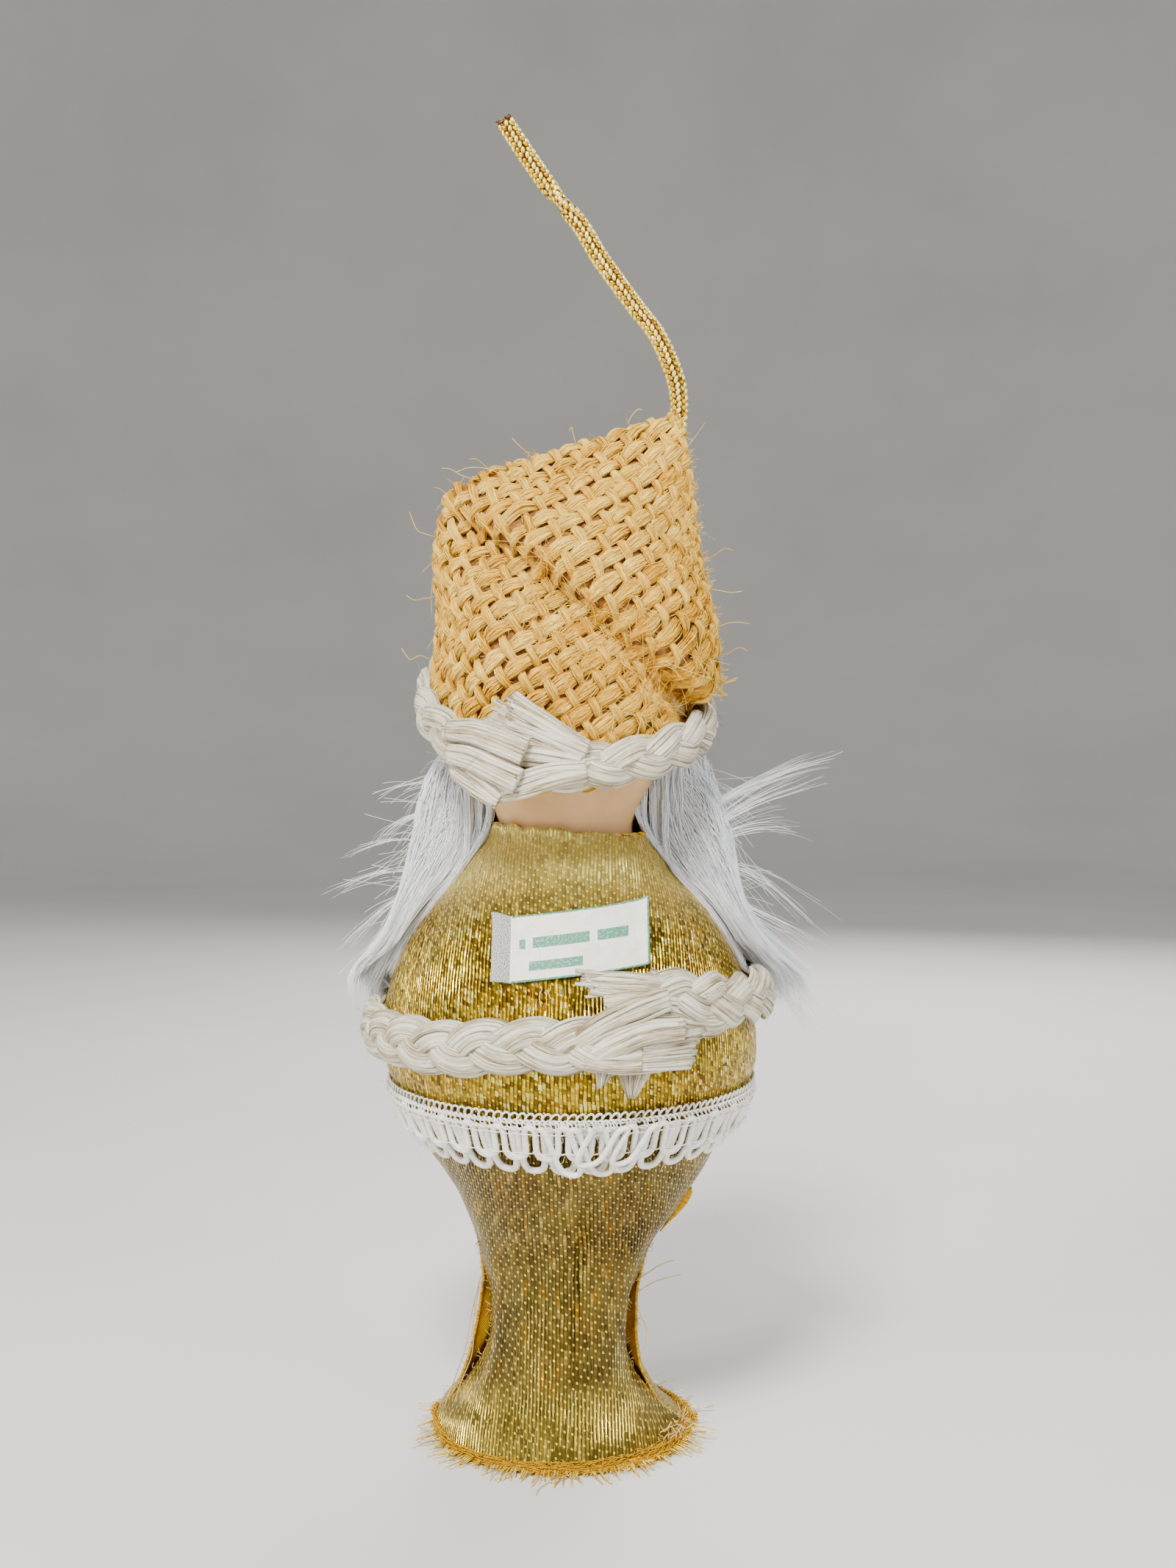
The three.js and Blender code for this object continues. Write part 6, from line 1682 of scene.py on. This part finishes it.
def make_label():
    b = Builder()
    nx, nv = 120, 44
    x = np.linspace(-15.2, 12.4, nx)[:, None]
    v = np.linspace(-5.6, 5.6, nv)[None, :]
    x, v = x + 0 * v, v + 0 * x
    z = 99.0 - 0.116 * x + v
    r = robe_r(0, z)
    deg = np.degrees(np.arcsin(np.clip(x / r, -1, 1)))
    for _ in range(6):
        deg = np.degrees(np.arcsin(np.clip(x / robe_r(deg, z), -1, 1)))
    off = 0.62 + 0.10 * wave(x * 0.15 + v * 0.1, 151)
    off = off + 1.5 * smooth(9.3, 12.4, x) + 0.9 * smooth(3.4, 5.6, np.abs(v)) * smooth(8, 12, x) * 0.5
    off = off + 0.5 * smooth(-13.2, -15.2, x) + 0.35 * smooth(4.2, 5.6, v) * smooth(-6, -15, x)
    # the edge at +X dips before the bent strip
    off = off - 0.22 * np.exp(-((x - 9.4) / 0.5) ** 2)
    P, N = robe_surf(deg, z, off)
    du, dv = np.gradient(P, axis=0), np.gradient(P, axis=1)
    Nn = unit(np.cross(dv, du))
    if (Nn * N).sum() < 0:
        Nn = -Nn
    Q = P - Nn * 0.24
    m = nx * nv
    q = grid_faces(nx, nv)
    test = np.cross(P[1, 0] - P[0, 0], P[0, 1] - P[0, 0]) @ N[0, 0]
    idx = np.arange(m).reshape(nx, nv)
    ring = np.concatenate([idx[:-1, 0], idx[-1, :-1], idx[1:, -1][::-1], idx[0, 1:][::-1]])
    nxt = np.roll(ring, -1)
    ed = np.stack([ring, nxt, nxt + m, ring + m], -1)
    if test <= 0:
        q, ed = q[:, ::-1], ed[:, ::-1]
    A = np.stack([x, v, 0 * x], -1).reshape(-1, 3)
    b.add(np.concatenate([P.reshape(-1, 3), Q.reshape(-1, 3)]), [q, q[:, ::-1] + m, ed[:, ::-1]], np.concatenate([A, A]))
    b.make("paper_label_sheet", [label_mat], replaces=["paper_label"])


make_label()

# ------------------------------------------------------------------ floor and light
floor_mat = simple("floor", (216, 214, 210), (222, 220, 216), (228, 226, 222), 3.0, 0.7, 0.0)
# one sheet: flat under the figure, rising in a wide curve all round
rr_, aa_ = np.concatenate([[0.0], np.linspace(0.1, 1.4, 14), 1.4 + 1.2 * np.sin(np.linspace(0.05, 1, 24) * math.pi / 2)]), np.linspace(0, TAU, 97)[:-1]
zz_ = np.concatenate([np.zeros(15), 1.2 * (1 - np.cos(np.linspace(0.05, 1, 24) * math.pi / 2))])
rr_, zz_ = np.append(rr_, [2.6, 2.6]), np.append(zz_, [2.2, 3.4])
fv = np.stack([np.outer(np.cos(aa_), rr_), np.outer(np.sin(aa_), rr_), np.outer(np.ones(96), zz_)], -1).reshape(-1, 3)
me = bpy.data.meshes.new("floor")
me.from_pydata([tuple(v) for v in fv], [], [tuple(int(x) for x in q) for q in grid_faces(96, len(rr_), wrap=True)])
for pl in me.polygons:
    pl.use_smooth = True
floor = bpy.data.objects.new("floor", me)
bpy.context.scene.collection.objects.link(floor)
floor.data.materials.append(floor_mat)

world = bpy.data.worlds.new("world")
bpy.context.scene.world = world
world.use_nodes = True
world.node_tree.nodes["Background"].inputs[0].default_value = (1, 1, 1, 1)
world.node_tree.nodes["Background"].inputs[1].default_value = 0.36


def area_light(name, loc, look, size, power, color=(1, 1, 1)):
    d = bpy.data.lights.new(name, "AREA")
    d.shape, d.size, d.energy, d.color = "DISK", size, power, color
    o = bpy.data.objects.new(name, d)
    bpy.context.scene.collection.objects.link(o)
    o.location = loc
    o.rotation_euler = (Vector(look) - Vector(loc)).to_track_quat("-Z", "Y").to_euler()


area_light("key", (0.16, 0.60, 0.80), (0, 0, 0.12), 0.24, 15.5, (1.0, 0.985, 0.95))
area_light("left", (0.66, 0.50, 0.36), (0, 0, 0.12), 0.26, 4.5, (1.0, 0.99, 0.96))
area_light("fill", (-0.65, 0.60, 0.25), (0, 0, 0.12), 0.50, 4.5, (0.94, 0.97, 1.0))
area_light("rim", (-0.2, -0.7, 0.5), (0, 0, 0.15), 0.5, 6.0)
